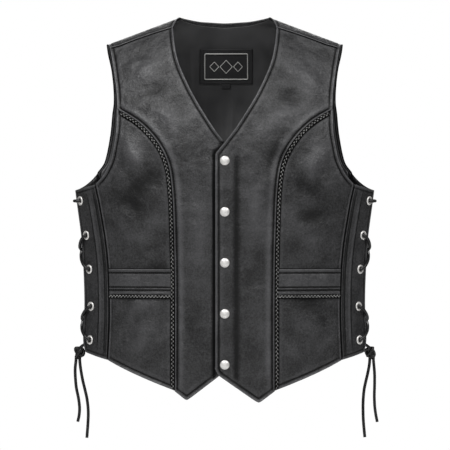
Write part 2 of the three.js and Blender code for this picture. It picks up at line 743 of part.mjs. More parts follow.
// A flat piece sewn on the lining, which follows the lining's own faces
function addOnLining(name, piece) {
  const grid = backGrid().slice(0, BACK_ROWS.length + CLIMB_ROWS.length);
  const heights = grid.map((row) => row[(row.length - 1) / 2].at.z);
  const level = Math.round(positionIn(heights, (piece.top + piece.bottom) / 2));
  const sides = grid[level].map((place) => place.at.x);
  const rows = linesBetween(positionIn(heights, piece.bottom), positionIn(heights, piece.top));
  const columns = linesBetween(positionIn(sides, piece.left), positionIn(sides, piece.right));
  const places = rows.map((i) => columns.map((j) => placeInGrid(grid, i, j)));
  const outer = -WALL - LINING_GAP - LINING - LABEL_GAP;
  add(name, wall(places, outer, outer - piece.thickness), WOVEN);
}

// Each snap's domed cap and back plate, as radius and height of each corner
function addSnaps() {
  const cap = [[0, 0], [SNAP_RADIUS, 0], [SNAP_RADIUS, 0.4], [6.6, 1.7], [4.2, 2.9], [0, 3.4]];
  const post = [[0, -1.6], [5, -1], [5, 0], [0, 0]];
  for (let i = 0; i < SNAP_COUNT; i += 1) {
    const place = levelPlace(-1, 0, SNAP_TOP - i * SNAP_PITCH);
    add(`snap_cap_${i + 1}`, stand(turned(cap, 12), place, OVERLAP_LIFT + SNAP_GAP), NICKEL);
    add(`snap_back_${i + 1}`, stand(turned(post, 10), place, -WALL - SNAP_GAP), NICKEL);
  }
}

// A point off the side of the figure: the bearing turns from the front centre line to the back one
function aroundPoint(side, bearing, z, height) {
  const behind = bearing > Math.PI / 2;
  const place = roundPlace(behind ? 1 : -1, side * (behind ? Math.PI - bearing : bearing), z);
  return place.at.addScaledVector(place.out, height);
}

// The eyelets in the order that a lace passes them, from the knot up to the bar and down again
const LACE_STOPS = [
  { face: -1, eyelet: 4 },
  { face: 1, eyelet: 3 },
  { face: -1, eyelet: 2 },
  { face: 1, eyelet: 1 },
  { face: -1, eyelet: 0 },
  { face: 1, eyelet: 0 },
  { face: -1, eyelet: 1 },
  { face: 1, eyelet: 2 },
  { face: -1, eyelet: 3 },
  { face: 1, eyelet: 4 },
];
// Heights of a lace's middle over the cloth, outside and inside, from an eyelet to mid span
const LACE_OUTSIDE = { near: 5, edge: 3.6, middle: -5.5, bar: -3.5 };
const LACE_INSIDE = { near: -6.2, edge: -6, middle: -10 };
const LACE_NEAR = 0.043;
const LACE_EDGE = 0.22;
const LACE_CROSS = 2.95; // how far each lace moves aside where two cross

function stopAt(stop) {
  const eyelet = EYELETS[stop.eyelet];
  const place = eyeletPlace(stop.face, 1, eyelet);
  const bearing = bearingAt(place.at.x, eyelet.z);
  return { z: eyelet.z, bearing: stop.face < 0 ? bearing : Math.PI - bearing };
}

// One lace, laced through both strips of a side and closed by the knot below them
function laceRoute(side) {
  const stops = LACE_STOPS.map(stopAt);
  const off = (from, to, share, height) => aroundPoint(
    side, lerp(from.bearing, to.bearing, share), lerp(from.z, to.z, share), height,
  );
  const toKnot = (stop, sign) => {
    const beam = { bearing: Math.PI / 2, z: KNOT.z + KNOT.halfHeight + 9 };
    return [
      new THREE.Vector3(side * KNOT.x, sign * 3.1, KNOT.z + KNOT.halfHeight + 0.4),
      new THREE.Vector3(side * KNOT.x, sign * 3.2, KNOT.z + KNOT.halfHeight + 3.2),
      new THREE.Vector3(side * (KNOT.x - 1), sign * 5, KNOT.z + KNOT.halfHeight + 7.5),
      off(stop, beam, 0.55, -8),
      off(stop, beam, 0.13, -6.3),
    ];
  };
  const route = toKnot(stops[0], -1);
  stops.forEach((stop, i) => {
    const fromInside = i % 2 === 0;
    const place = eyeletPlace(LACE_STOPS[i].face, side, EYELETS[LACE_STOPS[i].eyelet]);
    const hole = [-3.7, 1.2].map((height) => place.at.clone().addScaledVector(place.out, height));
    route.push(...(fromInside ? hole : hole.reverse()));
    if (i === stops.length - 1) return;
    const next = stops[i + 1];
    const heights = fromInside ? LACE_OUTSIDE : LACE_INSIDE;
    const bar = i === LACE_STOPS.length / 2 - 1;
    const crossing = Math.sign(LACE_STOPS.length / 2 - 1 - i) * LACE_CROSS;
    const level = bar ? heights.bar : heights.middle + crossing;
    route.push(off(stop, next, LACE_NEAR, heights.near), off(stop, next, LACE_EDGE, heights.edge));
    route.push(off(stop, next, 0.5, level));
    route.push(off(stop, next, 1 - LACE_EDGE, heights.edge), off(stop, next, 1 - LACE_NEAR, heights.near));
  });
  route.push(...toKnot(stops[stops.length - 1], 1).reverse());
  return route;
}

// A curve that is stepped at its own points, close together where it bends
class Route extends THREE.CatmullRomCurve3 {
  getPointAt(t, target) {
    return this.getPoint(t, target);
  }

  getTangentAt(t, target) {
    return this.getTangent(t, target);
  }
}

function cord(curve, steps) {
  const section = new THREE.Shape();
  const sides = 8;
  for (let i = 0; i < sides; i += 1) {
    const turn = (i / sides) * 2 * Math.PI;
    const corner = [LACE_RADIUS * Math.cos(turn), LACE_RADIUS * Math.sin(turn)];
    if (i === 0) section.moveTo(...corner);
    else section.lineTo(...corner);
  }
  return new THREE.ExtrudeGeometry(section, { steps, extrudePath: curve });
}

function addLaces(front) {
  const route = laceRoute(front.side);
  add(`lace_${front.name}`, cord(new Route(route), route.length - 1), BRAIDED);
  const { halfHeight, flatten } = KNOT;
  // Radius and height of each corner, from the bottom up round the two turns of the knot
  const profile = [
    [0, -halfHeight], [8.4, -halfHeight], [9.7, -6.4], [8.5, -0.6], [9.6, 4.6], [7.2, halfHeight], [0, halfHeight],
  ];
  const knot = turned(profile, 12).rotateX(Math.PI / 2).scale(1, flatten, 1);
  add(`lace_knot_${front.name}`, knot.translate(front.side * KNOT.x, KNOT.y, KNOT.z), BRAIDED);
}

addBack();
for (const front of FRONTS) {
  addFront(front);
  addStrip(-1, front, FRONT_STRIP_ROWS);
  addStrip(1, front, BACK_STRIP_ROWS);
  addLaces(front);
}
addOnLining('label_patch', LABEL);
addOnLining('size_tab', TAB);
addSnaps();
for (const tail of TAILS) {
  const route = tail.route.map((point) => new THREE.Vector3(...point));
  add(tail.name, cord(new THREE.CatmullRomCurve3(route), TAIL_STEPS), BRAIDED);
}

export default vest;
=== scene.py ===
# %% [markdown]
# # A laced leather vest
# The vest is worn but nobody is in it, so it keeps the round shape of a trunk. Its sewn pieces are
# already placed as plain walls, and this lesson makes each of them again as fine leather, with rolled
# edges, stitches, plaited trim, nickel fittings and laces. All places are in metres, in the same
# frame as the plain walls: +X to the wearer's left, -Y out of the front, +Z up.

# %% Load the frame
import bisect
import json
import math

import bmesh
import bpy
from mathutils import Matrix, Vector
from mathutils.kdtree import KDTree

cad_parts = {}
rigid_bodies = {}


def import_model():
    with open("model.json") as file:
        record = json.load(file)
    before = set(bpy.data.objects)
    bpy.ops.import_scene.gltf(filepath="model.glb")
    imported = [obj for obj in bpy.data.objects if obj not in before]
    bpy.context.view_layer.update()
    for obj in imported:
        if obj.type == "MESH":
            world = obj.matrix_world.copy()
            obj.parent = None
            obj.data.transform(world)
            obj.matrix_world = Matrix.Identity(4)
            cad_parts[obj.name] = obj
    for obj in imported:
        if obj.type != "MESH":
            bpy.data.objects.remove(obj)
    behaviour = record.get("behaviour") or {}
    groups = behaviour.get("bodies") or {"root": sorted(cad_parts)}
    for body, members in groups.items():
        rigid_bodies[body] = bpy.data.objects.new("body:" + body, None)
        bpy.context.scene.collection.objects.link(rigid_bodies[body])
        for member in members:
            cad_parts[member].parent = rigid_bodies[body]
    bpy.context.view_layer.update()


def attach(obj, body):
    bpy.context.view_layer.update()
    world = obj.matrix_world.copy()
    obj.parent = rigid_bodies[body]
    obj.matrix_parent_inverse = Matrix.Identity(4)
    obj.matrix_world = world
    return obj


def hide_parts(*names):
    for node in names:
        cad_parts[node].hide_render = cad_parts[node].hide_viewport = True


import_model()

MM = 0.001

# %% [markdown]
# ## Camera, light and floor
# The photograph is taken level, from straight ahead and from some metres away, so a long lens at
# 4 metres gives the same slight perspective: the far neck edge draws a little smaller than the
# chest. The light is a bright tent: a pale surround, a soft lamp above each side, weak ones in front
# and low on the left, and one behind. Black leather shows only what it mirrors, so soft lamps draw
# its folds.

# %% Camera
DISTANCE = 4.0
PHOTO_WIDTH = 450
SCALE = 1.68 * MM  # metres of the object's side plane in a pixel of the photograph
VIEW_HEIGHT = -0.3247
camera_data = bpy.data.cameras.new("camera")
camera_data.sensor_width = 36
camera_data.lens = 36 * DISTANCE / (PHOTO_WIDTH * SCALE)
camera = bpy.data.objects.new("camera", camera_data)
camera.location = (0.25 * SCALE, -DISTANCE, VIEW_HEIGHT)
camera.rotation_euler = (math.pi / 2, 0, 0)
bpy.context.collection.objects.link(camera)
bpy.context.scene.camera = camera
print("lens in mm:", round(camera_data.lens, 1))


# %% Light and floor
def soft_lamp(name, place, aim, size, power):
    """A square soft lamp that faces a point."""
    data = bpy.data.lights.new(name, "AREA")
    data.size = size
    data.energy = power
    lamp = bpy.data.objects.new(name, data)
    lamp.location = place
    lamp.rotation_euler = (Vector(aim) - Vector(place)).to_track_quat("-Z", "Y").to_euler()
    bpy.context.collection.objects.link(lamp)


CHEST = (0, 0, -0.3)
soft_lamp("lamp_upper_left", (-0.95, -1.7, 2.0), CHEST, 0.7, 56)
soft_lamp("lamp_upper_right", (1.6, -1.6, 1.7), CHEST, 0.8, 34)
soft_lamp("lamp_front", (-0.2, -2.8, 0.1), CHEST, 1.0, 7)
soft_lamp("lamp_low_left", (-2.1, -1.3, -0.4), CHEST, 0.6, 1.5)
soft_lamp("lamp_back", (0.0, 2.4, 1.5), CHEST, 1.4, 34)

world = bpy.data.worlds.new("pale_surround")
world.use_nodes = True
sky = world.node_tree
shown = sky.nodes["Background"]
shown.inputs["Color"].default_value = (1, 1, 1, 1)
dim = sky.nodes.new("ShaderNodeBackground")
dim.inputs["Color"].default_value = (1, 1, 1, 1)
dim.inputs["Strength"].default_value = 0.15
seen = sky.nodes.new("ShaderNodeLightPath")
choice = sky.nodes.new("ShaderNodeMixShader")
sky.links.new(seen.outputs["Is Camera Ray"], choice.inputs[0])
sky.links.new(dim.outputs[0], choice.inputs[1])
sky.links.new(shown.outputs[0], choice.inputs[2])
sky.links.new(choice.outputs[0], sky.nodes["World Output"].inputs["Surface"])
bpy.context.scene.world = world

bpy.context.scene.view_settings.view_transform = "Standard"

FLOOR_HEIGHT = -1.15
bm = bmesh.new()
bmesh.ops.create_circle(bm, cap_ends=True, segments=64, radius=2.2)
bmesh.ops.translate(bm, verts=bm.verts, vec=(0, 0, FLOOR_HEIGHT))
floor_mesh = bpy.data.meshes.new("floor")
bm.to_mesh(floor_mesh)
bm.free()
floor = bpy.data.objects.new("floor", floor_mesh)
bpy.context.collection.objects.link(floor)
print("floor at", FLOOR_HEIGHT)

# %% [markdown]
# ## The free ends of the laces
# Below each knot two ends of the leather lace hang free. A cord is a curve with a round section
# along a smooth line through a few given points; the points are those of the plain tails.


# %% Cords
LACE_WIDTH = 5.0 * MM
ROUTES = {
    "lace_tail_right_short": [
        (-249.8, 0, -549.5), (-250, 0, -553), (-250.6, -1, -559), (-251.2, -2, -567), (-250.7, -2.5, -582),
        (-249.2, -2, -598), (-245.6, -1, -616), (-243.9, 0, -632), (-244.8, 1, -645), (-247, 2, -655),
    ],
    "lace_tail_right_long": [
        (-243.6, 0, -549.5), (-243.5, 0, -553), (-242.8, 0.5, -561), (-241.2, 1, -572), (-238.6, 1, -586),
        (-235.4, 0, -599), (-231.3, -1, -617), (-229.2, -1.5, -638), (-229.8, -1, -658), (-231.6, 0, -682),
    ],
    "lace_tail_left_short": [
        (249.8, 0, -549.5), (249.9, 0, -553), (250.6, -1, -561), (251.6, -1.5, -575), (251.6, -1.5, -594),
        (251.2, -1, -612), (252, 0, -630), (253.8, 1, -643), (256.3, 2, -655.5),
    ],
    "lace_tail_left_long": [
        (243.6, 0, -549.5), (243.5, 0, -553), (242.5, 0.5, -562), (240, 1, -575), (236.9, 1, -588),
        (234.2, 0.5, -601), (232.4, -0.5, -621), (232.3, -1, -640), (232.9, -1, -655), (235.3, 0, -681),
    ],
}


def smooth_line(points, between):
    """More points on a smooth line through the given ones, by centripetal spans."""
    ends = [2 * points[0] - points[1], *points, 2 * points[-1] - points[-2]]
    line = []
    for i in range(1, len(ends) - 2):
        a, b, c, d = ends[i - 1:i + 3]
        t0 = 0
        t1 = t0 + max((b - a).length ** 0.5, 1e-6)
        t2 = t1 + max((c - b).length ** 0.5, 1e-6)
        t3 = t2 + max((d - c).length ** 0.5, 1e-6)
        for k in range(between):
            t = t1 + (t2 - t1) * k / between
            ab = a.lerp(b, (t - t0) / (t1 - t0))
            bc = b.lerp(c, (t - t1) / (t2 - t1))
            cd = c.lerp(d, (t - t2) / (t3 - t2))
            abc = ab.lerp(bc, (t - t0) / (t2 - t0))
            bcd = bc.lerp(cd, (t - t1) / (t3 - t1))
            line.append(abc.lerp(bcd, (t - t1) / (t2 - t1)))
    return [*line, points[-1]]


def line_length(points):
    return sum((b - a).length for a, b in zip(points, points[1:]))


def cord_curve(name, lines, width):
    """A round cord along one or more lines of points in millimetres."""
    data = bpy.data.curves.new(name, "CURVE")
    data.dimensions = "3D"
    data.bevel_depth = 1  # in metres, times the radius of each point
    data.bevel_resolution = 3
    data.use_fill_caps = True
    for line in lines:
        spline = data.splines.new("POLY")
        spline.points.add(len(line) - 1)
        for point, at in zip(spline.points, line):
            point.co = (*(at * MM), 1)
            point.radius = width / 2
        spline.use_smooth = True
    cord = bpy.data.objects.new(name, data)
    bpy.context.collection.objects.link(cord)
    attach(cord, "root")
    return cord


laces = []
for name, route in ROUTES.items():
    line = smooth_line([Vector(point) for point in route], 5)
    tail = cord_curve(name + "_cord", [line], LACE_WIDTH)
    length = line_length(line) * MM
    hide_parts(name)
    laces.append(tail)
    print(name, "length in mm:", round(length / MM))

# %% [markdown]
# ## The form that fills the vest
# A pattern cutter works from a figure: level sections of a trunk, each an ellipse with its own
# half width and its own depth in front and behind. Above the chest the sections fall away to the
# line of the shoulders. Every cloth place below is found on this figure, so that pieces that are
# sewn together meet, and its creases are added there too, so that they run on under the trim.

# %% Tables of the figure and of the pattern, in millimetres
CHEST_LINE, BLADE_LINE = -200, -170
SHOULDER_ROUND = 1.7
CLIMB = 230
# height, half width, depth in front, depth behind
FIGURE = [
    (-640, 248, 108, 92), (-540, 247, 112, 95), (-460, 245, 112, 95), (-390, 246, 113, 98),
    (-320, 252, 116, 105), (-265, 257.5, 118, 110), (-200, 255, 116, 112), (-120, 246, 109, 110),
    (-60, 233, 102, 105), (0, 222, 95, 98), (80, 216, 90, 92),
]
# height, distance from the centre line
NECK_FRONT = [
    (6, 86.3), (-22, 83.2), (-52.5, 77), (-82.5, 65), (-116, 48.4), (-164.5, 18.8), (-187.5, 1.6),
    (-208.5, -15.6),
]
ARMHOLE_FRONT = [
    (-28.2, 193), (-50, 188.4), (-76.5, 184), (-104.5, 180), (-133, 178.4), (-154, 178.9), (-172, 179.6),
    (-190, 182.2), (-218.5, 188.5), (-242, 200.3), (-257, 213.7),
]
ARMHOLE_BACK = [
    (30, 199), (-22, 199), (-36, 197.7), (-60.5, 193), (-89, 190.3), (-116, 190), (-135, 192.5),
    (-166, 195.5), (-185, 198.4), (-206, 202.5), (-221, 207.3), (-236.5, 218.6),
]
CURVED_SEAM = [
    (-133.4, 177.8), (-155.5, 142.7), (-185.6, 113.6), (-219.5, 94.9), (-257, 87.4), (-315, 84), (-423, 81.9),
    (-600, 81.9),
]
SIDE_SEAM = [
    (-236.5, 218.6), (-257, 213.7), (-282, 207.8), (-313, 202.1), (-350, 196.1), (-394, 191.6), (-442, 190),
    (-487, 190), (-548, 192.8),
]
STRIP_EDGE = [
    (-264.7, 249.5), (-298, 245.1), (-346, 238.8), (-396, 235.5), (-458, 233.8), (-516, 235.9), (-540, 231.4),
]
# distance from the centre line, height
NECK_BACK = [(0, 19.2), (28, 19.9), (43, 20.3), (61, 22.6), (75, 24.6)]


class TableCurve:
    """A smooth curve through one column of a table, read by its first column."""

    def __init__(self, rows, column=1):
        rows = sorted(rows)
        self.keys = [row[0] for row in rows]
        self.values = [row[column] for row in rows]
        last = len(rows) - 1
        self.slopes = []
        for i in range(len(rows)):
            low, high = max(i - 1, 0), min(i + 1, last)
            self.slopes.append((self.values[high] - self.values[low]) / (self.keys[high] - self.keys[low]))

    def __call__(self, at):
        if at <= self.keys[0]:
            return self.values[0]
        if at >= self.keys[-1]:
            return self.values[-1]
        i = bisect.bisect_right(self.keys, at) - 1
        span = self.keys[i + 1] - self.keys[i]
        t = (at - self.keys[i]) / span
        start = (1 + 2 * t) * (1 - t) ** 2 * self.values[i]
        end = t * t * (3 - 2 * t) * self.values[i + 1]
        lean = t * (1 - t) ** 2 * self.slopes[i] + t * t * (t - 1) * self.slopes[i + 1]
        return start + end + span * lean


half_width, front_depth, back_depth = (TableCurve(FIGURE, column) for column in (1, 2, 3))
neck_front, armhole_front, armhole_back = map(TableCurve, (NECK_FRONT, ARMHOLE_FRONT, ARMHOLE_BACK))
curved_seam, side_seam = map(TableCurve, (CURVED_SEAM, SIDE_SEAM))
strip_edge, neck_back = map(TableCurve, (STRIP_EDGE, NECK_BACK))
WIDEST = -265  # height of the chest
chest_depth = (front_depth(WIDEST) + back_depth(WIDEST)) / 2
print("chest round in mm: about", round(math.pi * (half_width(WIDEST) + chest_depth)))


# %% Places on the figure
def lerp(a, b, t):
    return a + (b - a) * t


def clamp(value, low=0.0, high=1.0):
    return max(low, min(high, value))


def smoothstep(value, low, high):
    t = clamp((value - low) / (high - low))
    return t * t * (3 - 2 * t)


def ridge(x):
    """Height of the shoulder line, which rises into the neck."""
    soft = math.hypot(x, 12)
    inside = min(1, soft / 78)
    return 23.6 - 0.378 * (soft - 78) + 28 * (1 - inside ** 2) ** 2


def middle(z):
    """How far the middle of a section lies behind the side line."""
    return 6 * smoothstep(z, -265, -50)


def figure_point(face, bearing, z):
    x = half_width(z) * math.sin(bearing)
    start = CHEST_LINE if face < 0 else BLADE_LINE
    share = clamp((z - start) / (ridge(x) - start))
    fall = (1 - share ** SHOULDER_ROUND) ** (1 / SHOULDER_ROUND)
    depth = (front_depth(z) if face < 0 else back_depth(z)) * math.cos(bearing) * fall
    return Vector((x, middle(z) + face * depth, z))


def shoulder_point(x, lean):
    face = -1 if lean < 0 else 1
    start = CHEST_LINE if face < 0 else BLADE_LINE
    power = 2 / SHOULDER_ROUND
    z = start + (ridge(x) - start) * math.cos(lean) ** power
    section = math.sqrt(max(0, 1 - (x / half_width(z)) ** 2))
    depth = (front_depth(z) if face < 0 else back_depth(z)) * section * math.sin(abs(lean)) ** power
    return Vector((x, middle(z) + face * depth, z))


def lean_at(face, x, z):
    start = CHEST_LINE if face < 0 else BLADE_LINE
    share = clamp((z - start) / (ridge(x) - start))
    return face * math.acos(share ** (SHOULDER_ROUND / 2))


def back_point(x, climb):
    if climb <= 0:
        z = BLADE_LINE + climb
        return figure_point(1, math.asin(clamp(x / half_width(z), -1, 1)), z)
    return shoulder_point(x, math.pi / 2 * (1 - climb / CLIMB))


def climb_at(x, z):
    if z <= BLADE_LINE:
        return z - BLADE_LINE
    return CLIMB * (1 - lean_at(1, x, z) / (math.pi / 2))


def bearing_at(x, z):
    return math.asin(clamp(x / half_width(z), -1, 1))


# face, middle x and z, lie in degrees from level, half length, width and height
CREASES = [
    (-1, -135, -72, 38, 52, 15, 2.6), (-1, -112, -98, 20, 30, 12, -2.2), (-1, -150, -208, -62, 55, 14, 3),
    (-1, -152, -292, -22, 50, 13, -2.4), (-1, -135, -505, 60, 45, 15, 2), (-1, 138, -80, -34, 48, 14, 2.4),
    (-1, 108, -112, -18, 32, 12, -2), (-1, 148, -222, 66, 58, 15, 2.8), (-1, 150, -310, 20, 46, 13, -2.2),
    (-1, 140, -498, -56, 48, 14, 1), (1, -120, -150, 52, 70, 17, 3), (1, 112, -168, -56, 64, 16, 2.8),
    (1, -60, -330, 12, 80, 16, -2.6), (1, 70, -372, -14, 70, 15, 2.4), (1, -130, -430, 30, 60, 16, 2.2),
    (1, 125, -470, -40, 55, 15, -2.2), (-1, -44, -350, 86, 95, 20, 2.4), (-1, -22, -250, 78, 60, 14, 1),
    (-1, -140, -262, 24, 52, 16, -2.8), (-1, -118, -322, 40, 48, 18, 1), (-1, -110, -400, 80, 40, 16, -1.8),
    (-1, 50, -300, -80, 80, 18, 2.4), (-1, 84, -215, 68, 50, 14, -2.2), (-1, 135, -262, -30, 52, 16, -2.6),
    (-1, 120, -330, -46, 50, 18, 1), (-1, 48, -450, 84, 70, 18, 0.4), (-1, -48, -500, -80, 60, 18, -1.8),
    (-1, -95, -150, -40, 45, 16, 2.4), (-1, 92, -150, 44, 45, 16, 2.2), (-1, -140, -455, 30, 44, 16, 2),
    (-1, 142, -455, -32, 44, 16, -2),
]
# narrow troughs above and below the pocket bands, painted a little darker as the shade under the band and the
# plait, of the same columns
TROUGHS = [
    (-1, -137, -393.5, 0, 78, 3, -1), (-1, 137, -393.5, 0, 78, 3, -1), (-1, -137, -446.5, 0, 78, 3.2, -1.2),
    (-1, 137, -446.5, 0, 78, 3.2, -1.2),
]
# finer creases, of the same columns
FINE_CREASES = [
    (-1, -152, -58, 44, 28, 7, 0.9), (-1, -104, -66, 30, 34, 8, -0.9), (-1, -128, -118, 12, 30, 7, 0.8),
    (-1, -128, -232, -70, 42, 7, -1.1), (-1, -168, -252, -52, 30, 7, 1.0), (-1, -118, -268, -35, 34, 8, 0.9),
    (-1, -150, -345, -8, 36, 8, 1.0), (-1, -112, -360, 24, 30, 7, -0.8), (-1, -165, -470, 72, 38, 8, -1.0),
    (-1, -108, -520, 48, 36, 8, 0.8), (-1, -52, -150, 50, 32, 8, 0.8), (-1, -55, -240, -78, 46, 9, 0.7),
    (-1, -50, -355, 80, 60, 9, -0.7), (-1, -52, -480, -82, 50, 9, 0.8), (-1, 154, -60, -40, 28, 7, 0.9),
    (-1, 102, -72, -26, 34, 8, -0.9), (-1, 126, -132, -10, 32, 7, 0.8), (-1, 128, -248, 74, 40, 7, -1.0),
    (-1, 170, -262, 50, 30, 7, 1.0), (-1, 114, -290, 30, 32, 8, 0.9), (-1, 146, -352, 12, 34, 8, 1.0),
    (-1, 164, -482, -70, 38, 8, -1.0), (-1, 112, -530, -44, 34, 8, 0.8), (-1, 60, -170, -48, 32, 8, 0.8),
    (-1, 62, -262, 80, 44, 9, 0.7), (-1, 60, -380, -80, 58, 9, -0.7), (-1, 62, -500, 82, 46, 9, 0.8),
    (1, -150, -210, 60, 50, 9, -1.2), (1, -70, -120, 40, 50, 9, 1.0), (1, 40, -200, -50, 50, 9, -1.0),
    (1, 150, -250, -64, 46, 9, 1.1), (1, 10, -300, 8, 60, 10, 1.0), (1, -100, -385, 22, 50, 9, -1.0),
    (1, 110, -330, -20, 44, 9, 1.0), (1, 20, -450, -16, 56, 10, -0.9), (1, -60, -490, 70, 44, 9, 0.9),
    (1, 80, -515, -75, 36, 9, 0.9), (1, 0, -60, 2, 60, 9, -0.8), (1, -90, -40, 30, 40, 8, 0.9),
]
DEPTH_OF_CREASES, DEPTH_OF_FINE_CREASES = 1.55, 1.3
ALL_CREASES = [(*crease[:-1], crease[-1] * DEPTH_OF_CREASES) for crease in CREASES]
ALL_CREASES += [(*crease[:-1], crease[-1] * DEPTH_OF_FINE_CREASES) for crease in FINE_CREASES] + TROUGHS


def crease_height(face, x, z):
    height = 0
    for side, middle_x, middle_z, turn, length, width, rise in ALL_CREASES:
        if side != face or abs(x - middle_x) > length + 2 * width or abs(z - middle_z) > length + 2 * width:
            continue
        cos, sin = math.cos(math.radians(turn)), math.sin(math.radians(turn))
        along = ((x - middle_x) * cos + (z - middle_z) * sin) / length
        across = ((z - middle_z) * cos - (x - middle_x) * sin) / width
        if abs(along) < 1:
            height += rise * math.cos(along * math.pi / 2) ** 2 * math.exp(-across * across)
    return height


def cloth_place(surface, u, v, step_u, step_v):
    """A point of the cloth with its creases, and the way out of the cloth there."""
    at = surface(u, v)
    along_u = surface(u + step_u, v) - surface(u - step_u, v)
    along_v = surface(u, v + step_v) - surface(u, v - step_v)
    out = along_u.cross(along_v)
    out.normalize()
    outward = Vector((at.x, 2 * (at.y - middle(at.z)), max(0, at.z - BLADE_LINE) / 2))
    if out.dot(outward) < 0:
        out.negate()
    face = -1 if at.y < middle(at.z) else 1
    return at + out * crease_height(face, at.x, at.z), out


def round_place(face, bearing, z):
    return cloth_place(lambda b, h: figure_point(face, b, h), bearing, z, 0.002, 0.3)


def level_place(face, x, z):
    return round_place(face, bearing_at(x, z), z)


def back_place(x, climb):
    return cloth_place(back_point, x, climb, 0.5, 0.5)


def lifted(place, height):
    at, out = place
    return at + out * height


print("front of the chest at", [round(value, 1) for value in figure_point(-1, 0, WIDEST)])

# %% [markdown]
# ## Cutting the leather
# A panel is a grid whose lines follow its edges: close together along the edges, where the leather is
# rolled and sewn, and a few millimetres apart elsewhere. `create_grid` makes the faces, and each of
# its points is then moved to its place on the figure. The distance to the nearest edge gives the
# relief: the edge turns over, a soft bead follows, then the groove that a row of stitches pulls in.

# %% Panel tools
EDGE_LINES = [0, 0.5, 1.2, 2.1, 3.1, 4.1, 5, 5.8, 6.6, 7.8, 9.6, 12]
# distance from the edge, height of the relief; the height also paints the leather: high beads paler as wear
# and painted highlight, low places darker as painted shade
ROLLED = TableCurve([
    (0, -0.8), (0.5, 0.4), (1.1, 1), (2, 0.7), (3.2, 0.2), (4.6, -0.1), (5.9, -0.85), (7, -0.4), (8.6, 0.15),
    (11, 0.2), (16, 0),
])
TURNED = TableCurve([
    (0, -0.5), (0.5, 0.4), (1.1, 0.8), (2.1, 0.3), (3, -0.3), (3.9, -0.9), (5.2, -0.35), (7, 0.2), (10, 0.6),
    (13, 0.35), (18, 0),
])
SHOULDER = TableCurve([
    (0, -0.2), (0.5, 0.6), (1.2, 0.9), (2.2, 0.4), (3.6, -0.3), (5, -0.1), (7, 0.2), (9, 0.1), (12, 0),
])
# a tucked edge and the bed beside a plait sink low, and so are painted black as the shade between the pieces
TUCKED = TableCurve([(0, -2.5), (3.9, -2.4), (5, -1), (6.4, 0.1), (9, 0.15), (12, 0)])
PLAIT_BED = TableCurve([(0, -2.5), (6, -2.2), (8.2, -1.7), (9.6, -0.5), (11, 0.2), (13, 0.2), (17, 0)])
LAP_SHADOW = TableCurve([(0, -1.2), (1.2, -1.1), (2.6, -0.5), (4, 0), (8, 0)])
LAP_FALL = TableCurve([(0, -0.55), (2, -0.45), (5, -0.2), (9, 0), (14, 0)])
SEAM_EDGE = TableCurve([(0, -0.4), (0.5, 0.2), (1.3, 0.6), (2.6, 0.2), (4, -0.1), (7, 0)])
TUCK = 2.8  # how far a piece runs on under the one that is sewn over it
REACH = 30  # how far from an edge its relief is felt
RIDGE_PAINTED_LIGHT, TROUGH_PAINTED_SHADE = 0.13, 0.08  # how much a crease's height is painted on the leather, paler on its ridges as painted light and darker in its troughs as painted shade, beside the relief's height
pieces = {}
cuts = {}  # width and length of the cut sheets


def shares(length, spacing_count, near_start=1.0, near_end=1.0):
    """Places across a panel as parts of its length: edge lines at both ends, even ones between."""
    shrink = min(1, length / (2.6 * EDGE_LINES[-1] * max(near_start, near_end)))
    first = [d * near_start * shrink / length for d in EDGE_LINES]
    last = [1 - d * near_end * shrink / length for d in reversed(EDGE_LINES)]
    between = [lerp(first[-1], last[0], k / spacing_count) for k in range(1, spacing_count)]
    return first + between + last


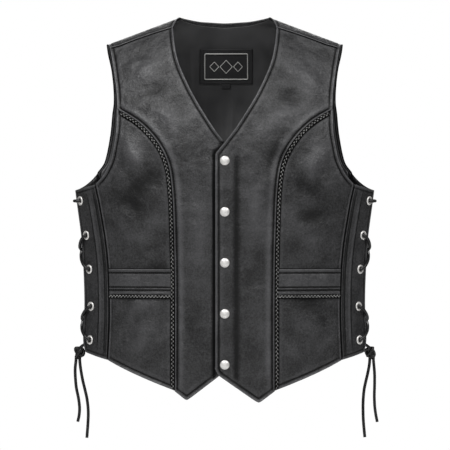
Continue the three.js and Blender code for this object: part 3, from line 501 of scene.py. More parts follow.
class Panel:
    """A cut piece on the figure, between two edges that are given by height and two that are given across."""

    def __init__(self, face, side, edges, top, bottom, lift=lambda x: 0):
        self.face, self.side, self.edges = face, side, edges
        self.top, self.bottom, self.lift = top, bottom, lift

    def place(self, u, z):
        start, end = (bearing_at(edge(z), z) for edge in self.edges)
        at, out = round_place(self.face, self.side * lerp(start, end, u), z)
        return at + out * self.lift(at.x), out

    def width(self, z):
        points = [self.place(u, z)[0] for u in (0, 0.5, 1)]
        return (points[1] - points[0]).length + (points[2] - points[1]).length

    def slant(self, u, z):
        """How much further an edge's offset reaches along a level row than square to the edge."""
        return sum(self.slant_at(u, z + shift) for shift in (-9, -6, -3, 0, 3, 6, 9)) / 7

    def slant_at(self, u, z):
        inner = 0.02 if u == 0 else -0.02
        along_row = (self.place(u + inner, z)[0] - self.place(u, z)[0]).normalized()
        along_edge = (self.place(u, z + 1)[0] - self.place(u, z - 1)[0]).normalized()
        return 1 / max(0.35, along_row.cross(along_edge).length)

    def rows(self, cell):
        heights = [self.top(0.5), self.bottom(0.5)]
        across = max(4, round(self.width(lerp(*heights, 0.5)) / cell))
        length = heights[0] - heights[1]
        down = shares(length, max(4, round(length / cell)), 1.05, 1.15)
        measured = {}
        result = []
        for t in down:
            level = round(lerp(heights[0], heights[1], t))
            u_list = shares(100, across)
            for _ in range(2):
                new_list = []
                for j, u in enumerate(u_list):
                    z = lerp(self.top(u), self.bottom(u), t)
                    key = round(z)
                    if key not in measured:
                        slants = self.slant(0, key), self.slant(1, key)
                        measured[key] = shares(self.width(key), across, *slants)
                    new_list.append(measured[key][j])
                u_list = new_list
            result.append([self.place(u, lerp(self.top(u), self.bottom(u), t)) for u in u_list])
        return result

    def side_line(self, u, start, end, inset=0.0, step=3.0):
        """Places down an edge, or beside it."""
        count = max(2, round((start - end) / step))
        line = []
        for k in range(count + 1):
            z = lerp(start, end, k / count)
            shift = inset * self.slant(u, z) / self.width(z) if inset else 0
            line.append(self.place(u + (shift if u == 0 else -shift), z))
        return line

    def cross_line(self, edge, inset=0.0, start=0.0, end=1.0, step=3.0):
        """Places across the top or the bottom edge, or inside it."""
        level = self.top if edge == "top" else self.bottom
        count = max(2, round(self.width(level(0.5)) * abs(end - start) / step))
        line = []
        for k in range(count + 1):
            u = lerp(start, end, k / count)
            slope = (level(min(1, u + 0.01)) - level(max(0, u - 0.01))) / (0.02 * self.width(level(u)))
            shift = inset * math.hypot(1, slope)
            line.append(self.place(u, level(u) + (-shift if edge == "top" else shift)))
        return line


def edge_tree(lines):
    """Points every half millimetre along edges, to measure distances from."""
    points = []
    for line in lines:
        line = [at for at, _ in line]
        for a, b in zip(line, line[1:]):
            steps = max(1, math.ceil((b - a).length / 0.5))
            points += [a.lerp(b, k / steps) for k in range(steps)]
        points.append(line[-1])
    tree = KDTree(len(points))
    for i, point in enumerate(points):
        tree.insert(point, i)
    tree.balance()
    return tree


def relieved(rows, styles):
    """Moves places out or in by their distance from the edges; styles pairs a profile with its lines. Each
    place also keeps that height, with a share of its crease's, as wear and painted light and shade for the
    colour.
    """
    trees = [(edge_tree(lines), profile) for profile, lines in styles]
    result = []
    for row in rows:
        new_row = []
        for at, out in row:
            height, weight = 0, 1e-9
            for tree, profile in trees:
                distance = tree.find(at)[2]
                if distance < REACH:
                    share = 1 / (distance + 0.3) ** 2
                    height += profile(distance) * share
                    weight += share
            face = -1 if at.y < middle(at.z) else 1
            crease = crease_height(face, at.x, at.z)
            # wear and painted light: the relief's height, with a share of the crease's, paints ridges paler
            # and troughs darker as painted shade
            painted_light_and_wear = height / weight + crease * (RIDGE_PAINTED_LIGHT if crease > 0 else TROUGH_PAINTED_SHADE)
            new_row.append((at + out * height / weight, out, painted_light_and_wear))
        result.append(new_row)
    return result


def grid_mesh(rows):
    """A grid of faces through rows of places, its front on the way out of the cloth.
    The height of its relief and creases is kept with each point as "raised", which paints the leather paler
    on high places and darker on low ones, as wear and as painted light and shade."""
    bm = bmesh.new()
    across, up = len(rows[0]), len(rows)
    bmesh.ops.create_grid(bm, x_segments=across - 1, y_segments=up - 1, size=0.5)
    bm.verts.ensure_lookup_table()
    raised = bm.verts.layers.float.new("raised")
    for i, row in enumerate(rows):
        for j, place in enumerate(row):
            bm.verts[i * across + j].co = place[0]
            bm.verts[i * across + j][raised] = place[2] if len(place) > 2 else 0
    bm.normal_update()
    middle_out = rows[up // 2][across // 2][1]
    middle_vert = bm.verts[(up // 2) * across + across // 2]
    if middle_vert.normal.dot(middle_out) < 0:
        bmesh.ops.reverse_faces(bm, faces=bm.faces)
    return bm


def join(bm, part):
    """Adds one mesh in the making to another, and frees it."""
    mesh = bpy.data.meshes.new("part")
    part.to_mesh(mesh)
    part.free()
    bm.from_mesh(mesh)
    bpy.data.meshes.remove(mesh)


def cut_size(rows):
    """The longest row and the longest column of a grid of places."""
    def run(places):
        return sum((b[0] - a[0]).length for a, b in zip(places, places[1:]))

    return max(map(run, rows)), max(map(run, zip(*rows)))


def finish_piece(name, bm, replaced=(), thickness=0.0, rows=None):
    """Turns a mesh in millimetres into an object in metres that rides on the vest. Rows are given for
    a piece that is cut from a sheet, and their size is kept."""
    if rows:
        cuts[name] = cut_size(rows)
    bmesh.ops.scale(bm, vec=(MM, MM, MM), verts=bm.verts)
    mesh = bpy.data.meshes.new(name)
    bm.to_mesh(mesh)
    bm.free()
    mesh.shade_smooth()
    piece = bpy.data.objects.new(name, mesh)
    bpy.context.collection.objects.link(piece)
    if thickness:
        wall = piece.modifiers.new("thickness", "SOLIDIFY")
        wall.thickness = thickness * MM
        wall.offset = -1
    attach(piece, "root")
    if replaced:
        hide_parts(*replaced)
    pieces[name] = piece
    print(name, "faces:", len(mesh.polygons))
    return piece


# %% [markdown]
# ## The fronts
# Each front is a centre panel, from the neck to the curved seam, and a side panel beyond it. The
# wearer's left front lies over the right one and carries the snaps. Its placket stands off by the
# thickness of the leather below, and falls back in a soft trough just past the edge of that leather.

# %% Fronts
LEATHER = 2.0  # thickness
SEAM_GAP = 0.15
# heights of the shoulder seam's ends, of the seams' upper ends and of the hem's corners at the seams
NECK_END, ARM_END = 6, -28.2
SEAM_TOP, SIDE_TOP, BACK_SIDE_TOP = -133.4, -257, -236.5
HEM_CORNER, SIDE_CORNER = -597, -548
TOP_DIP, HEM_DIP = 4, 34  # how deep the shoulder seam and the hem can dip
LIFT = TableCurve([(-30, 2.9), (12.5, 2.9), (15, 2.65), (18, 2.0), (22, 2.1), (30, 1.75), (42, 0.7), (56, 0)])
# where the hem's tip falls across the panel, its share of the deepest dip, how far a corner is rounded,
# and the height at which the hem leaves the centre edge
HEM_TIP = {"right": (0.79, 0.74, 0, -552.7), "left": (0.72, 0.845, 6, -566.7)}
SIDES = {"right": -1, "left": 1}


def centre_outer(z):
    return armhole_front(z) if z > SEAM_TOP else curved_seam(z)


def centre_panel(name):
    tip, dip, corner, hem_start = HEM_TIP[name]

    def tent(u):
        return 1 - math.hypot(1 - min(u / tip, (1 - u) / (1 - tip)), 0.07)

    def top(u):
        return lerp(NECK_END, ARM_END, u) - TOP_DIP * dip * tent(u) + TUCK

    def hem(u):
        rounded = corner * max(0, 1 - u / 0.06) ** 2
        return lerp(hem_start, HEM_CORNER, u) - HEM_DIP * dip * tent(u) + rounded

    lift = LIFT if name == "left" else lambda x: 0
    return Panel(-1, SIDES[name], (neck_front, centre_outer), top, hem, lift)


def side_inner(z):
    slope = (curved_seam(z + 1) - curved_seam(z - 1)) / 2
    return curved_seam(z) - TUCK * math.hypot(1, slope)


def side_outer(z):
    return armhole_front(z) if z > SIDE_TOP else side_seam(z) - SEAM_GAP


def side_panel(name):
    return Panel(
        -1, SIDES[name], (side_inner, side_outer),
        lambda u: SEAM_TOP - 1, lambda u: lerp(HEM_CORNER, SIDE_CORNER, u),
    )


# the lap of the left front shows in a line down each, sunk and painted dark as shade: right, a painted shadow
# beside the lap's edge; left, where it falls back
LAP_LINES = {
    "right": (LAP_SHADOW, -188, lambda z: neck_front(z) - 1.8),
    "left": (LAP_FALL, -214, lambda z: 19),
}
panels = {}
for name in SIDES:
    centre = panels["centre", name] = centre_panel(name)
    lap_profile, lap_top, lap_x = LAP_LINES[name]
    lap_line = [level_place(-1, lap_x(z), z) for z in range(lap_top, -575, -5)]
    rows = relieved(centre.rows(4), [
        (lap_profile, [lap_line]),
        (ROLLED, [
            centre.side_line(0, NECK_END, -557), centre.side_line(1, ARM_END, SEAM_TOP),
            centre.cross_line("bottom"),
        ]),
        (TURNED, [centre.side_line(1, SEAM_TOP, HEM_CORNER)]),
        (TUCKED, [centre.cross_line("top")]),
    ])
    finish_piece(f"leather_front_{name}", grid_mesh(rows), [f"front_{name}"], LEATHER, rows)

    beside = panels["side", name] = side_panel(name)
    rows = relieved(beside.rows(4), [
        (ROLLED, [beside.side_line(1, -135, SIDE_TOP), beside.cross_line("bottom", 0, 0.04, 1)]),
        (PLAIT_BED, [beside.side_line(0, -135, HEM_CORNER)]),
        (SEAM_EDGE, [beside.side_line(1, SIDE_TOP, SIDE_CORNER)]),
    ])
    finish_piece(f"leather_side_{name}", grid_mesh(rows), [f"side_panel_{name}"], LEATHER, rows)

# %% [markdown]
# ## The back
# The back is cut in one with a narrow yoke that comes over each shoulder to the front's shoulder
# seam. A place on it is given by its distance from the centre line and by how far it lies above the
# shoulder blades, measured along the cloth, so that the grid climbs over the shoulder without a pole.
# The yokes are two further grids, merged with the body of the back along the shoulder line.

# %% Back
NECK_CORNER, SHOULDER_TIP = 75, 199
NECK_SHARE = NECK_CORNER / SHOULDER_TIP
YOKE_SHARES = [0, 0.12, 0.24, 0.36, 0.48, 0.6, 0.7, 0.79, 0.86, 0.91, 0.95, 0.98, 1]


def back_edge(climb):
    """Half width of the back at a climb."""
    if climb <= 0:
        z = BLADE_LINE + climb
        return armhole_back(z) if z > BACK_SIDE_TOP else side_seam(z) - SEAM_GAP
    edge = SHOULDER_TIP
    for _ in range(4):
        edge = armhole_back(back_point(edge, climb).z)
    return edge


def back_top(u):
    """Climb of the top edge: the neck line, and the shoulder line beyond it."""
    x = abs(u) * SHOULDER_TIP
    return climb_at(x, neck_back(x)) if x < NECK_CORNER else CLIMB


BACK_HEM, BACK_CORNER = -549, -545


def hem_climb(u):
    return lerp(BACK_HEM, BACK_CORNER, abs(u)) - BLADE_LINE


def back_row(share, columns):
    """Places across the back at a share of its height, from -1 at the hem through 0 to 1 at the top."""
    row = []
    for u in columns:
        climb = share * back_top(u) if share > 0 else -share * hem_climb(u)
        row.append(back_place(u * back_edge(climb), climb))
    return row


def yoke_place(name, q, share):
    """A place over a shoulder, q of the way from the neck to the tip."""
    front = panels["centre", name]
    seam = front.place(q, front.top(q))[0]
    start = SIDES[name] * lerp(NECK_CORNER, SHOULDER_TIP, q)
    end = lean_at(-1, seam.x, seam.z - TUCK)
    return cloth_place(shoulder_point, lerp(start, seam.x, share), end * share, 0.5, 0.01)


over_columns = shares(SHOULDER_TIP - NECK_CORNER, 24)
half_columns = [NECK_SHARE * k / 18 for k in range(18)] + [lerp(NECK_SHARE, 1, q) for q in over_columns]
columns = [-u for u in reversed(half_columns[1:])] + half_columns
lower_shares = [k - 1 for k in shares(BLADE_LINE - BACK_HEM, 80)[:-len(EDGE_LINES)]]
upper_shares = shares(CLIMB, 48)[len(EDGE_LINES) - 1:]
body_rows = [back_row(share, columns) for share in lower_shares + [0] + upper_shares]
yoke_rows = {}
for name, side in SIDES.items():
    first = body_rows[-1][-len(over_columns):] if side > 0 else body_rows[-1][:len(over_columns)][::-1]
    over_rows = [[yoke_place(name, q, share) for q in over_columns] for share in YOKE_SHARES[1:]]
    yoke_rows[name] = [first] + over_rows

neck_line = [place for u, place in zip(columns, body_rows[-1]) if abs(u) <= NECK_SHARE + 1e-6]
rolled = [neck_line, back_row(-1, columns)]
sewn, shoulder = [], []
for name, side in SIDES.items():
    rolled += [[row[0] for row in yoke_rows[name]], [row[-1] for row in yoke_rows[name]]]
    edge = [row[-1] if side > 0 else row[0] for row in body_rows]
    rolled.append([place for place in edge if place[0].z > BACK_SIDE_TOP])
    sewn.append([place for place in edge if place[0].z <= BACK_SIDE_TOP])
    shoulder.append(yoke_rows[name][-1])
back_styles = [(ROLLED, rolled), (SEAM_EDGE, sewn), (SHOULDER, shoulder)]

bm = grid_mesh(relieved(body_rows, back_styles))
for name in SIDES:
    join(bm, grid_mesh(relieved(yoke_rows[name], back_styles)))
bmesh.ops.remove_doubles(bm, verts=bm.verts, dist=0.02)
finish_piece("leather_back", bm, ["back"], LEATHER)
back_width, back_length = cut_size(body_rows)
cuts["leather_back"] = back_width, back_length + cut_size(yoke_rows["left"])[1]

# %% [markdown]
# ## Lining, facing and label inside the back
# The inside of the back is lined with satin, which is cut a little wide and so hangs in faint upright
# folds. A leather facing with a pale piped edge closes it at the neck. The woven label below it has a
# pale frame, and a plain row of diamonds in place of any lettering.

# %% Lining and facing
FACING_START = 0.958
LINING_DEPTH, LINING_THICKNESS = 2.9, 0.5
# place across, half width and depth of each fold in the satin
SATIN_FOLDS = [
    (-152, 9, 1.6), (-118, 7, 1.2), (-86, 8, 1.5), (-58, 5, 1.3), (-31, 4, 1.6), (-8, 6, 0.8), (14, 4, 1.7),
    (43, 5, 1.5), (70, 7, 1.1), (101, 8, 1.5), (134, 7, 1.3), (160, 8, 1.2),
]


def satin_fold(x, z):
    """Depth of the lining's folds, which the label holds flat."""
    depth = 0
    for across, width, rise in SATIN_FOLDS:
        wander = 3 * math.sin(z / 70 + across)
        depth += rise * math.exp(-((x - across - wander) / width) ** 2)
    return depth * max(smoothstep(-z, 92, 150), smoothstep(abs(x - 2.5), 48, 60) * smoothstep(-z, 0, 50))


def flat_row(row, depth):
    return [(at - out * depth, out) for at, out in row]


lining_columns = [k / 60 * 0.975 for k in range(-60, 61)]
lining_rows = []
for share in [k / 70 - 1 for k in range(3, 70)] + [k / 50 * FACING_START for k in range(0, 51)]:
    row = back_row(share, lining_columns)
    lining_rows.append([(at - out * (LINING_DEPTH + satin_fold(at.x, at.z)), out) for at, out in row])
finish_piece("satin_lining", grid_mesh(lining_rows), ["back_lining"], LINING_THICKNESS,
             lining_rows)

facing_columns = [NECK_SHARE * k / 36 for k in range(-36, 37)]
facing_shares = [lerp(FACING_START, 0.9995, k / 10) for k in range(11)]
facing_rows = [flat_row(back_row(share, facing_columns), LEATHER + 0.5) for share in facing_shares]
finish_piece("neck_facing_leather", grid_mesh(facing_rows), ["neck_facing"], 1.0)

# %% Label
LABEL_BOX = (-43.6, 48.7, -81, -22)  # left, right, bottom, top
FRAME_BOX = (-35.3, 40.2, -72.8, -29.9)
TAB_BOX = (-5, 10.2, -89, -81.5)
LABEL_DEPTH = 4.1
LOW_LINK, HIGH_LINK = 3.0, 4.0  # heights between which a plait turns from black painted shade to a pale painted highlight
STEP_IN = TableCurve([(0, -0.35), (0.7, 0.05), (2, 0.15), (3.6, 0.1), (4.4, -0.2), (5.2, 0), (7, 0)])


def lining_place(x, z, depth):
    at, out = back_place(x, climb_at(x, z))
    return at - out * depth, -out


def label_rows(box, depth, cell):
    left, right, bottom, top = box
    across, down = round((right - left) / cell), round((top - bottom) / cell)
    places_x = [lerp(left, right, j / across) for j in range(across + 1)]
    places_z = [lerp(bottom, top, i / down) for i in range(down + 1)]
    return [[lining_place(x, z, depth) for x in places_x] for z in places_z]


def box_edge(rows):
    return [rows[0], rows[-1], [row[0] for row in rows], [row[-1] for row in rows]]


rows = label_rows(LABEL_BOX, LABEL_DEPTH + 0.8, 0.9)
bm = grid_mesh(relieved(rows, [(STEP_IN, box_edge(rows))]))
finish_piece("woven_label_patch", bm, ["label_patch"], 0.8, rows)
rows = label_rows(TAB_BOX, LABEL_DEPTH + 0.5, 0.8)
finish_piece("woven_size_tab", grid_mesh(rows), ["size_tab"], 0.5)


def corner_path(corners, radius, step=1.5):
    """A closed path of straight lines in x and z with rounded corners."""
    path = []
    for i, corner in enumerate(corners):
        before, after = Vector(corners[i - 1]), Vector(corners[(i + 1) % len(corners)])
        corner = Vector(corner)
        start, end = (corner + (other - corner).normalized() * radius for other in (before, after))
        path += [start.lerp(corner, t).lerp(corner.lerp(end, t), t) for t in (0, 0.25, 0.5, 0.75, 1)]
        straight = after + (corner - after).normalized() * radius
        count = max(1, round((straight - end).length / step))
        path += [end.lerp(straight, k / count) for k in range(1, count)]
    return [*path, path[0]]


def line_mesh(name, lines, width, base=None):
    """Round lines of a given width made as one mesh. With a base line of places, each point keeps as
    "raised" how far it stands above that line, from -0.75 low down to 1 on top, which paints a plait black as
    shade low down and pale as a highlight on top."""
    curve = bpy.data.curves.new(name, "CURVE")
    curve.dimensions = "3D"
    curve.bevel_depth = width / 2 * MM
    curve.bevel_resolution = 3
    curve.use_fill_caps = True
    for line in lines:
        spline = curve.splines.new("POLY")
        spline.points.add(len(line) - 1)
        for point, at in zip(spline.points, line):
            point.co = (*(at * MM), 1)
    shape = bpy.data.objects.new(name, curve)
    bpy.context.collection.objects.link(shape)
    mesh = bpy.data.meshes.new_from_object(shape.evaluated_get(bpy.context.evaluated_depsgraph_get()))
    bpy.data.objects.remove(shape)
    bm = bmesh.new()
    bm.from_mesh(mesh)
    bpy.data.meshes.remove(mesh)
    bmesh.ops.remove_doubles(bm, verts=bm.verts, dist=1e-6)
    bmesh.ops.recalc_face_normals(bm, faces=bm.faces)
    bmesh.ops.scale(bm, vec=(1 / MM, 1 / MM, 1 / MM), verts=bm.verts)
    if base:
        raised = bm.verts.layers.float.new("raised")
        tree = KDTree(len(base))
        for i, (at, _) in enumerate(base):
            tree.insert(at, i)
        tree.balance()
        for vert in bm.verts:
            at, out = base[tree.find(vert.co)[1]]
            height = (vert.co - at).dot(out) * STRAND / width
            vert[raised] = lerp(-0.75, 1, smoothstep(height, LOW_LINK, HIGH_LINK))
    return finish_piece(name, bm)


left, right, bottom, top = FRAME_BOX
frame_path = corner_path([(left, bottom), (right, bottom), (right, top), (left, top)], 2)
centre_x, centre_z = (left + right) / 2, (bottom + top) / 2
diamonds = []
for shift, size in ((-21, 8), (0, 11), (21, 8)):
    x = centre_x + shift
    corners = [(x - size, centre_z), (x, centre_z - size), (x + size, centre_z), (x, centre_z + size)]
    diamonds.append(corner_path(corners, 0.6))
label_lines = [
    [lining_place(at[0], at[1], LABEL_DEPTH + 0.9)[0] for at in path] for path in [frame_path, *diamonds]
]
line_mesh("label_frame", label_lines[:1], 1.8)
line_mesh("label_diamonds", label_lines[1:], 1.1)
piping = [at - out * (LEATHER + 1.0) for at, out in back_row(FACING_START - 0.002, facing_columns)]
line_mesh("neck_piping", [piping], 1.5)

# %% [markdown]
# ## Lacing strips
# A strip is sewn to each side seam, in front and behind. Its holes are opened in the grid: the points
# inside a hole are deleted and those left round it are drawn to a circle, which the eyelet covers.

# %% Lacing strips
# height, place across the strip
EYELETS = [(-284.4, 0.77), (-341.8, 0.71), (-398.3, 0.69), (-459.7, 0.66), (-515.5, 0.65)]
HOLE = 4.9


def eyelet_place(face, side, number):
    z, across = EYELETS[number]
    start, end = bearing_at(side_seam(z), z), bearing_at(strip_edge(z), z)
    return round_place(face, side * lerp(start, end, across), z)


def open_hole(bm, place):
    at, out = place
    inside = [vert for vert in bm.verts if (vert.co - at).length < HOLE]
    bmesh.ops.delete(bm, geom=inside, context="VERTS")
    for vert in bm.verts:
        offset = vert.co - at
        if vert.is_boundary and offset.length < HOLE + 4:
            offset -= out * offset.dot(out)
            vert.co = at + offset.normalized() * HOLE


def strip_panel(face, name):
    if face < 0:
        top = lambda u: lerp(-257, -266.6, u) - 4 * u * (1 - u)
        bottom = lambda u: lerp(-548, -536, u)
    else:
        top = lambda u: lerp(-236.5, -264.7, u) - 20 * u * (1 - u)
        bottom = lambda u: lerp(-545, -539, u)
    return Panel(face, SIDES[name], (lambda z: side_seam(z) - TUCK / 2, strip_edge), top, bottom)


# the strip's relief paints it too: the edge under the side seam sinks and is painted black as shade, beads
# paler as wear and highlight
STRIP_PROFILE = TableCurve([
    (0, -0.8), (0.5, 0.3), (1.1, 0.7), (2.4, 0.3), (4.2, 0), (5.4, -0.5), (6.6, -0.1), (8.5, 0.1), (12, 0),
])
SEWN_SEAM = TableCurve([
    (0, -2.5), (3.2, -2.4), (4.2, -0.8), (5.2, 0.2), (6.4, 0.1), (8, -0.6), (9.4, 0.2), (11, -0.55),
    (12.6, 0.1), (17, 0.1), (21, 0.45), (23.4, 0.2), (24.6, -0.7), (26, -0.1), (29, 0),
])
for face, where in ((-1, "front"), (1, "back")):
    for name in SIDES:
        strip = panels["strip", where, name] = strip_panel(face, name)
        rows = relieved(strip.rows(2.4), [
            (STRIP_PROFILE, [
                strip.side_line(1, -265, -539), strip.cross_line("top"), strip.cross_line("bottom"),
            ]),
            (SEWN_SEAM, [strip.side_line(0, strip.top(0), strip.bottom(0))]),
        ])
        bm = grid_mesh(rows)
        for number in range(len(EYELETS)):
            open_hole(bm, eyelet_place(face, SIDES[name], number))
        old = f"lacing_strip_{where}_{name}"
        finish_piece(f"leather_strip_{where}_{name}", bm, [old], LEATHER, rows)

# %% [markdown]
# ## Pocket bands
# A band of leather is sewn on each side panel, one row of stitches below its top edge and two rows
# above its lower edge. Both edges sink to a low lip that is painted dark as shade: the upper one draws a
# painted shadow line along the band, and a narrow plait lies in the lower one, in painted shade.

# %% Pocket bands
# width of each lip, painted dark as shade: above, a painted shadow line; below, the plait's bed
UPPER_SHADE_LIP, LOWER_SHADE_LIP = 1.1, 7.3
BAND_TOP, BAND_BOTTOM = -396.8 + UPPER_SHADE_LIP, -438.3 - LOWER_SHADE_LIP
BAND_LIFT = 2.2
# distance of the rows of stitches from the upper and from the lower edge
UPPER_ROW, LOWER_ROWS = 7.5, (13.9, 18.7)
# the lips sink below the band and are painted near black: a painted shadow line above, painted shade round
# the plait
BAND_UPPER = TableCurve([(0, -1.1), (0.6, -1), (UPPER_SHADE_LIP, -0.6), (2, 0.8), (3, 0.6), (4.2, 0.3), (16, 0.35)])
BAND_LOWER = TableCurve([
    (0, -1.2), (6.4, -1.1), (LOWER_SHADE_LIP, -0.6), (8.2, 0.5), (9.2, 0.6), (12, 0.35), (16, 0.35),
])
BAND_GROOVE = TableCurve([(0, -0.8), (0.9, -0.5), (2, 0.2), (3, 0.35), (5, 0.35)])
BAND_END = TableCurve([(0, -0.8), (0.8, 0), (2, 0.3), (5, 0.35)])
for name in SIDES:
    band = panels["band", name] = Panel(
        -1, SIDES[name], (lambda z: curved_seam(z) + 5.2, lambda z: side_seam(z) - 2 * SEAM_GAP),
        lambda u: BAND_TOP, lambda u: BAND_BOTTOM, lambda x: BAND_LIFT,
    )
    lower_grooves = [band.cross_line("bottom", row) for row in LOWER_ROWS]
    rows = relieved(band.rows(1.5), [
        (BAND_UPPER, [band.cross_line("top")]), (BAND_LOWER, [band.cross_line("bottom")]),
        (BAND_GROOVE, [band.cross_line("top", UPPER_ROW), *lower_grooves]),
        (BAND_END, [band.side_line(0, BAND_TOP, BAND_BOTTOM), band.side_line(1, BAND_TOP, BAND_BOTTOM)]),
    ])
    finish_piece(
        f"leather_pocket_band_{name}", grid_mesh(rows), [f"pocket_band_{name}"],
        BAND_LIFT - 0.4, rows,
    )

# %% [markdown]
# ## Plaited trim
# Three leather strands run in a plait. Each swings from side to side as a sine wave, and the three
# are a third of a wave apart. A strand is high where it crosses the middle one way and low where it
# crosses back, so it passes over one neighbour and under the other.

# %% Plaits
STRAND = 2.3
PLAIT_TOP, PLAIT_BOTTOM, PLAIT_DISTANCE = -138.5, -592, 3.1  # the distance is from the curved seam
POCKET_PLAIT = -441.9


def plait(name, line, swing, wave, strand, replaced):
    """A three-strand plait along places, in millimetres."""
    lengths = [0]
    for (a, _), (b, _) in zip(line, line[1:]):
        lengths.append(lengths[-1] + (b - a).length)
    strands = []
    for k in range(3):
        points = []
        count = round(lengths[-1] / 1.3)
        for i in range(count + 1):
            along = lengths[-1] * i / count
            j = min(bisect.bisect_right(lengths, along), len(line) - 1)
            t = (along - lengths[j - 1]) / (lengths[j] - lengths[j - 1])
            at = line[j - 1][0].lerp(line[j][0], t)
            out = line[j - 1][1].lerp(line[j][1], t).normalized()
            across = (line[j][0] - line[j - 1][0]).normalized().cross(out)
            phase = 2 * math.pi * (along / wave + k / 3)
            rise = strand * 0.5 + 0.7 + 0.8 * math.sin(2 * phase)
            points.append(at + across * swing * math.sin(phase) + out * rise)
        strands.append(points)
    piece = line_mesh(name, strands, strand, line)
    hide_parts(replaced)
    return piece


def beside_seam(side, z, distance):
    """A place beside the curved seam, over the side panel."""
    slope = (curved_seam(z + 1) - curved_seam(z - 1)) / 2
    length = math.hypot(1, slope)
    return level_place(-1, side * (curved_seam(z) + distance / length), z - distance * slope / length)


for name, side in SIDES.items():
    heights = [lerp(PLAIT_TOP, PLAIT_BOTTOM, k / 150) for k in range(151)]
    line = [beside_seam(side, z, PLAIT_DISTANCE) for z in heights]
    plait(f"plait_seam_{name}", line, 1.8, 20, STRAND, f"seam_braid_{name}")
    ends = curved_seam(POCKET_PLAIT) + 6, side_seam(POCKET_PLAIT) - 1
    line = [level_place(-1, side * lerp(*ends, k / 40), POCKET_PLAIT) for k in range(41)]
    plait(f"plait_pocket_{name}", line, 1.5, 17, STRAND * 0.9, f"pocket_braid_{name}")

# %% [markdown]
# ## Snaps and eyelets
# Both are turned shapes. A profile, given as radius and height, is spun round its axis and stood on
# the leather with the axis along the way out.

# %% Turned metal
SNAP_TOP, SNAP_PITCH, SNAP_COUNT = -219.8, 83.3, 5
CAP = [
    (0, 3.5), (1.5, 3.44), (3, 3.2), (4.4, 2.78), (5.6, 2.2), (6.6, 1.5), (7.3, 0.85), (7.7, 0.35),
    (7.8, 0.1), (7.4, -0.1), (0, -0.1),
]
PLATE = [(0, -1.4), (2.4, -1.35), (4.2, -1.1), (5, -0.6), (5, 0), (0, 0)]
RING = [
    (4.35, 0), (4.4, 0.6), (4.8, 1.1), (5.5, 1.4), (6.3, 1.35), (7, 0.95), (7.5, 0.4), (7.6, -0.05),
    (4.75, -0.05), (4.75, -2.35), (6.2, -2.4), (6.9, -2.6), (6.4, -2.85), (5.2, -2.9),
    (4.5, -2.75), (4.3, -2.2),
]
SEAT = 0.15  # a cap or a ring stands this far over its place


def stand(place, height=0.0):
    """The matrix that puts a turned shape on a place."""
    at, out = place
    turn = Vector((0, 0, 1)).rotation_difference(out).to_matrix().to_4x4()
    return Matrix.Translation(at + out * height) @ turn


def turned(bm, profile, matrix, steps=48):
    """Spins a profile into a mesh and moves it by a matrix."""
    part = bmesh.new()
    closed = profile[0][0] > 0
    verts = [part.verts.new((r, 0, h)) for r, h in profile]
    edges = [part.edges.new(pair) for pair in zip(verts, verts[1:])]
    if closed:
        edges.append(part.edges.new((verts[-1], verts[0])))
    bmesh.ops.spin(
        part, geom=verts + edges, axis=(0, 0, 1), cent=(0, 0, 0), angle=2 * math.pi, steps=steps,
        use_merge=True,
    )
    bmesh.ops.remove_doubles(part, verts=part.verts, dist=0.001)
    bmesh.ops.recalc_face_normals(part, faces=part.faces)
    bmesh.ops.transform(part, matrix=matrix, verts=part.verts)
    join(bm, part)


for name, profile, height in (("snap_cap", CAP, LIFT(0) + SEAT), ("snap_back", PLATE, -LEATHER - 0.3)):
    for number in range(SNAP_COUNT):
        bm = bmesh.new()
        turned(bm, profile, stand(level_place(-1, 0, SNAP_TOP - number * SNAP_PITCH), height))
        finish_piece(f"nickel_{name}_{number + 1}", bm, [f"{name}_{number + 1}"])
for face, where in ((-1, "front"), (1, "back")):
    for name, side in SIDES.items():
        for number in range(len(EYELETS)):
            bm = bmesh.new()
            turned(bm, RING, stand(eyelet_place(face, side, number), SEAT))
            old = f"eyelet_{where}_{name}_{number + 1}"
            finish_piece(f"nickel_{old}", bm, [old])

# %% [markdown]
# ## Laces
# One leather lace closes each side. It runs from the knot up through the eyelets of both strips in
# turn, makes a bar at the top and comes down again, crossing itself outside and inside by turns.

# %% Laces
KNOT_X, KNOT_Z, KNOT_HALF = 244.2, -538, 11
# eyelets in the order that the lace passes them: face, number from the top
STOPS = [(-1, 4), (1, 3), (-1, 2), (1, 1), (-1, 0), (1, 0), (-1, 1), (1, 2), (-1, 3), (1, 4)]
# share of the span from an eyelet, and the height of the lace's middle over the cloth there
OUTSIDE = [(0.043, 4.8), (0.14, 3.1), (0.27, -2.2)]
INSIDE = [(0.043, -6.2), (0.14, -6.6), (0.27, -10)]
OUTSIDE_MIDDLE, INSIDE_MIDDLE, BAR_HEIGHT, CROSS = -9.45, -14.5, -7.4, 2.95
STEEPNESS = 1.95  # above 1, a span leaves its eyelet steeply and levels out towards its middle
# lace inside the knot: each level's height and its share of the spread, and where each strand stands
CORE_LEVELS = [(9, 0.2), (4, 0.4), (-4, 0.8), (-8, 1), (-12, 1)]
CORE_STRANDS = [(5.6, 0), (-0.6, 0), (1, 2.6), (1, -2.6)]


def around_point(side, bearing, z, height):
    """A point off the side of the figure; the bearing turns from the front centre line to the back."""
    if bearing > math.pi / 2:
        return lifted(round_place(1, side * (math.pi - bearing), z), height)
    return lifted(round_place(-1, side * bearing, z), height)


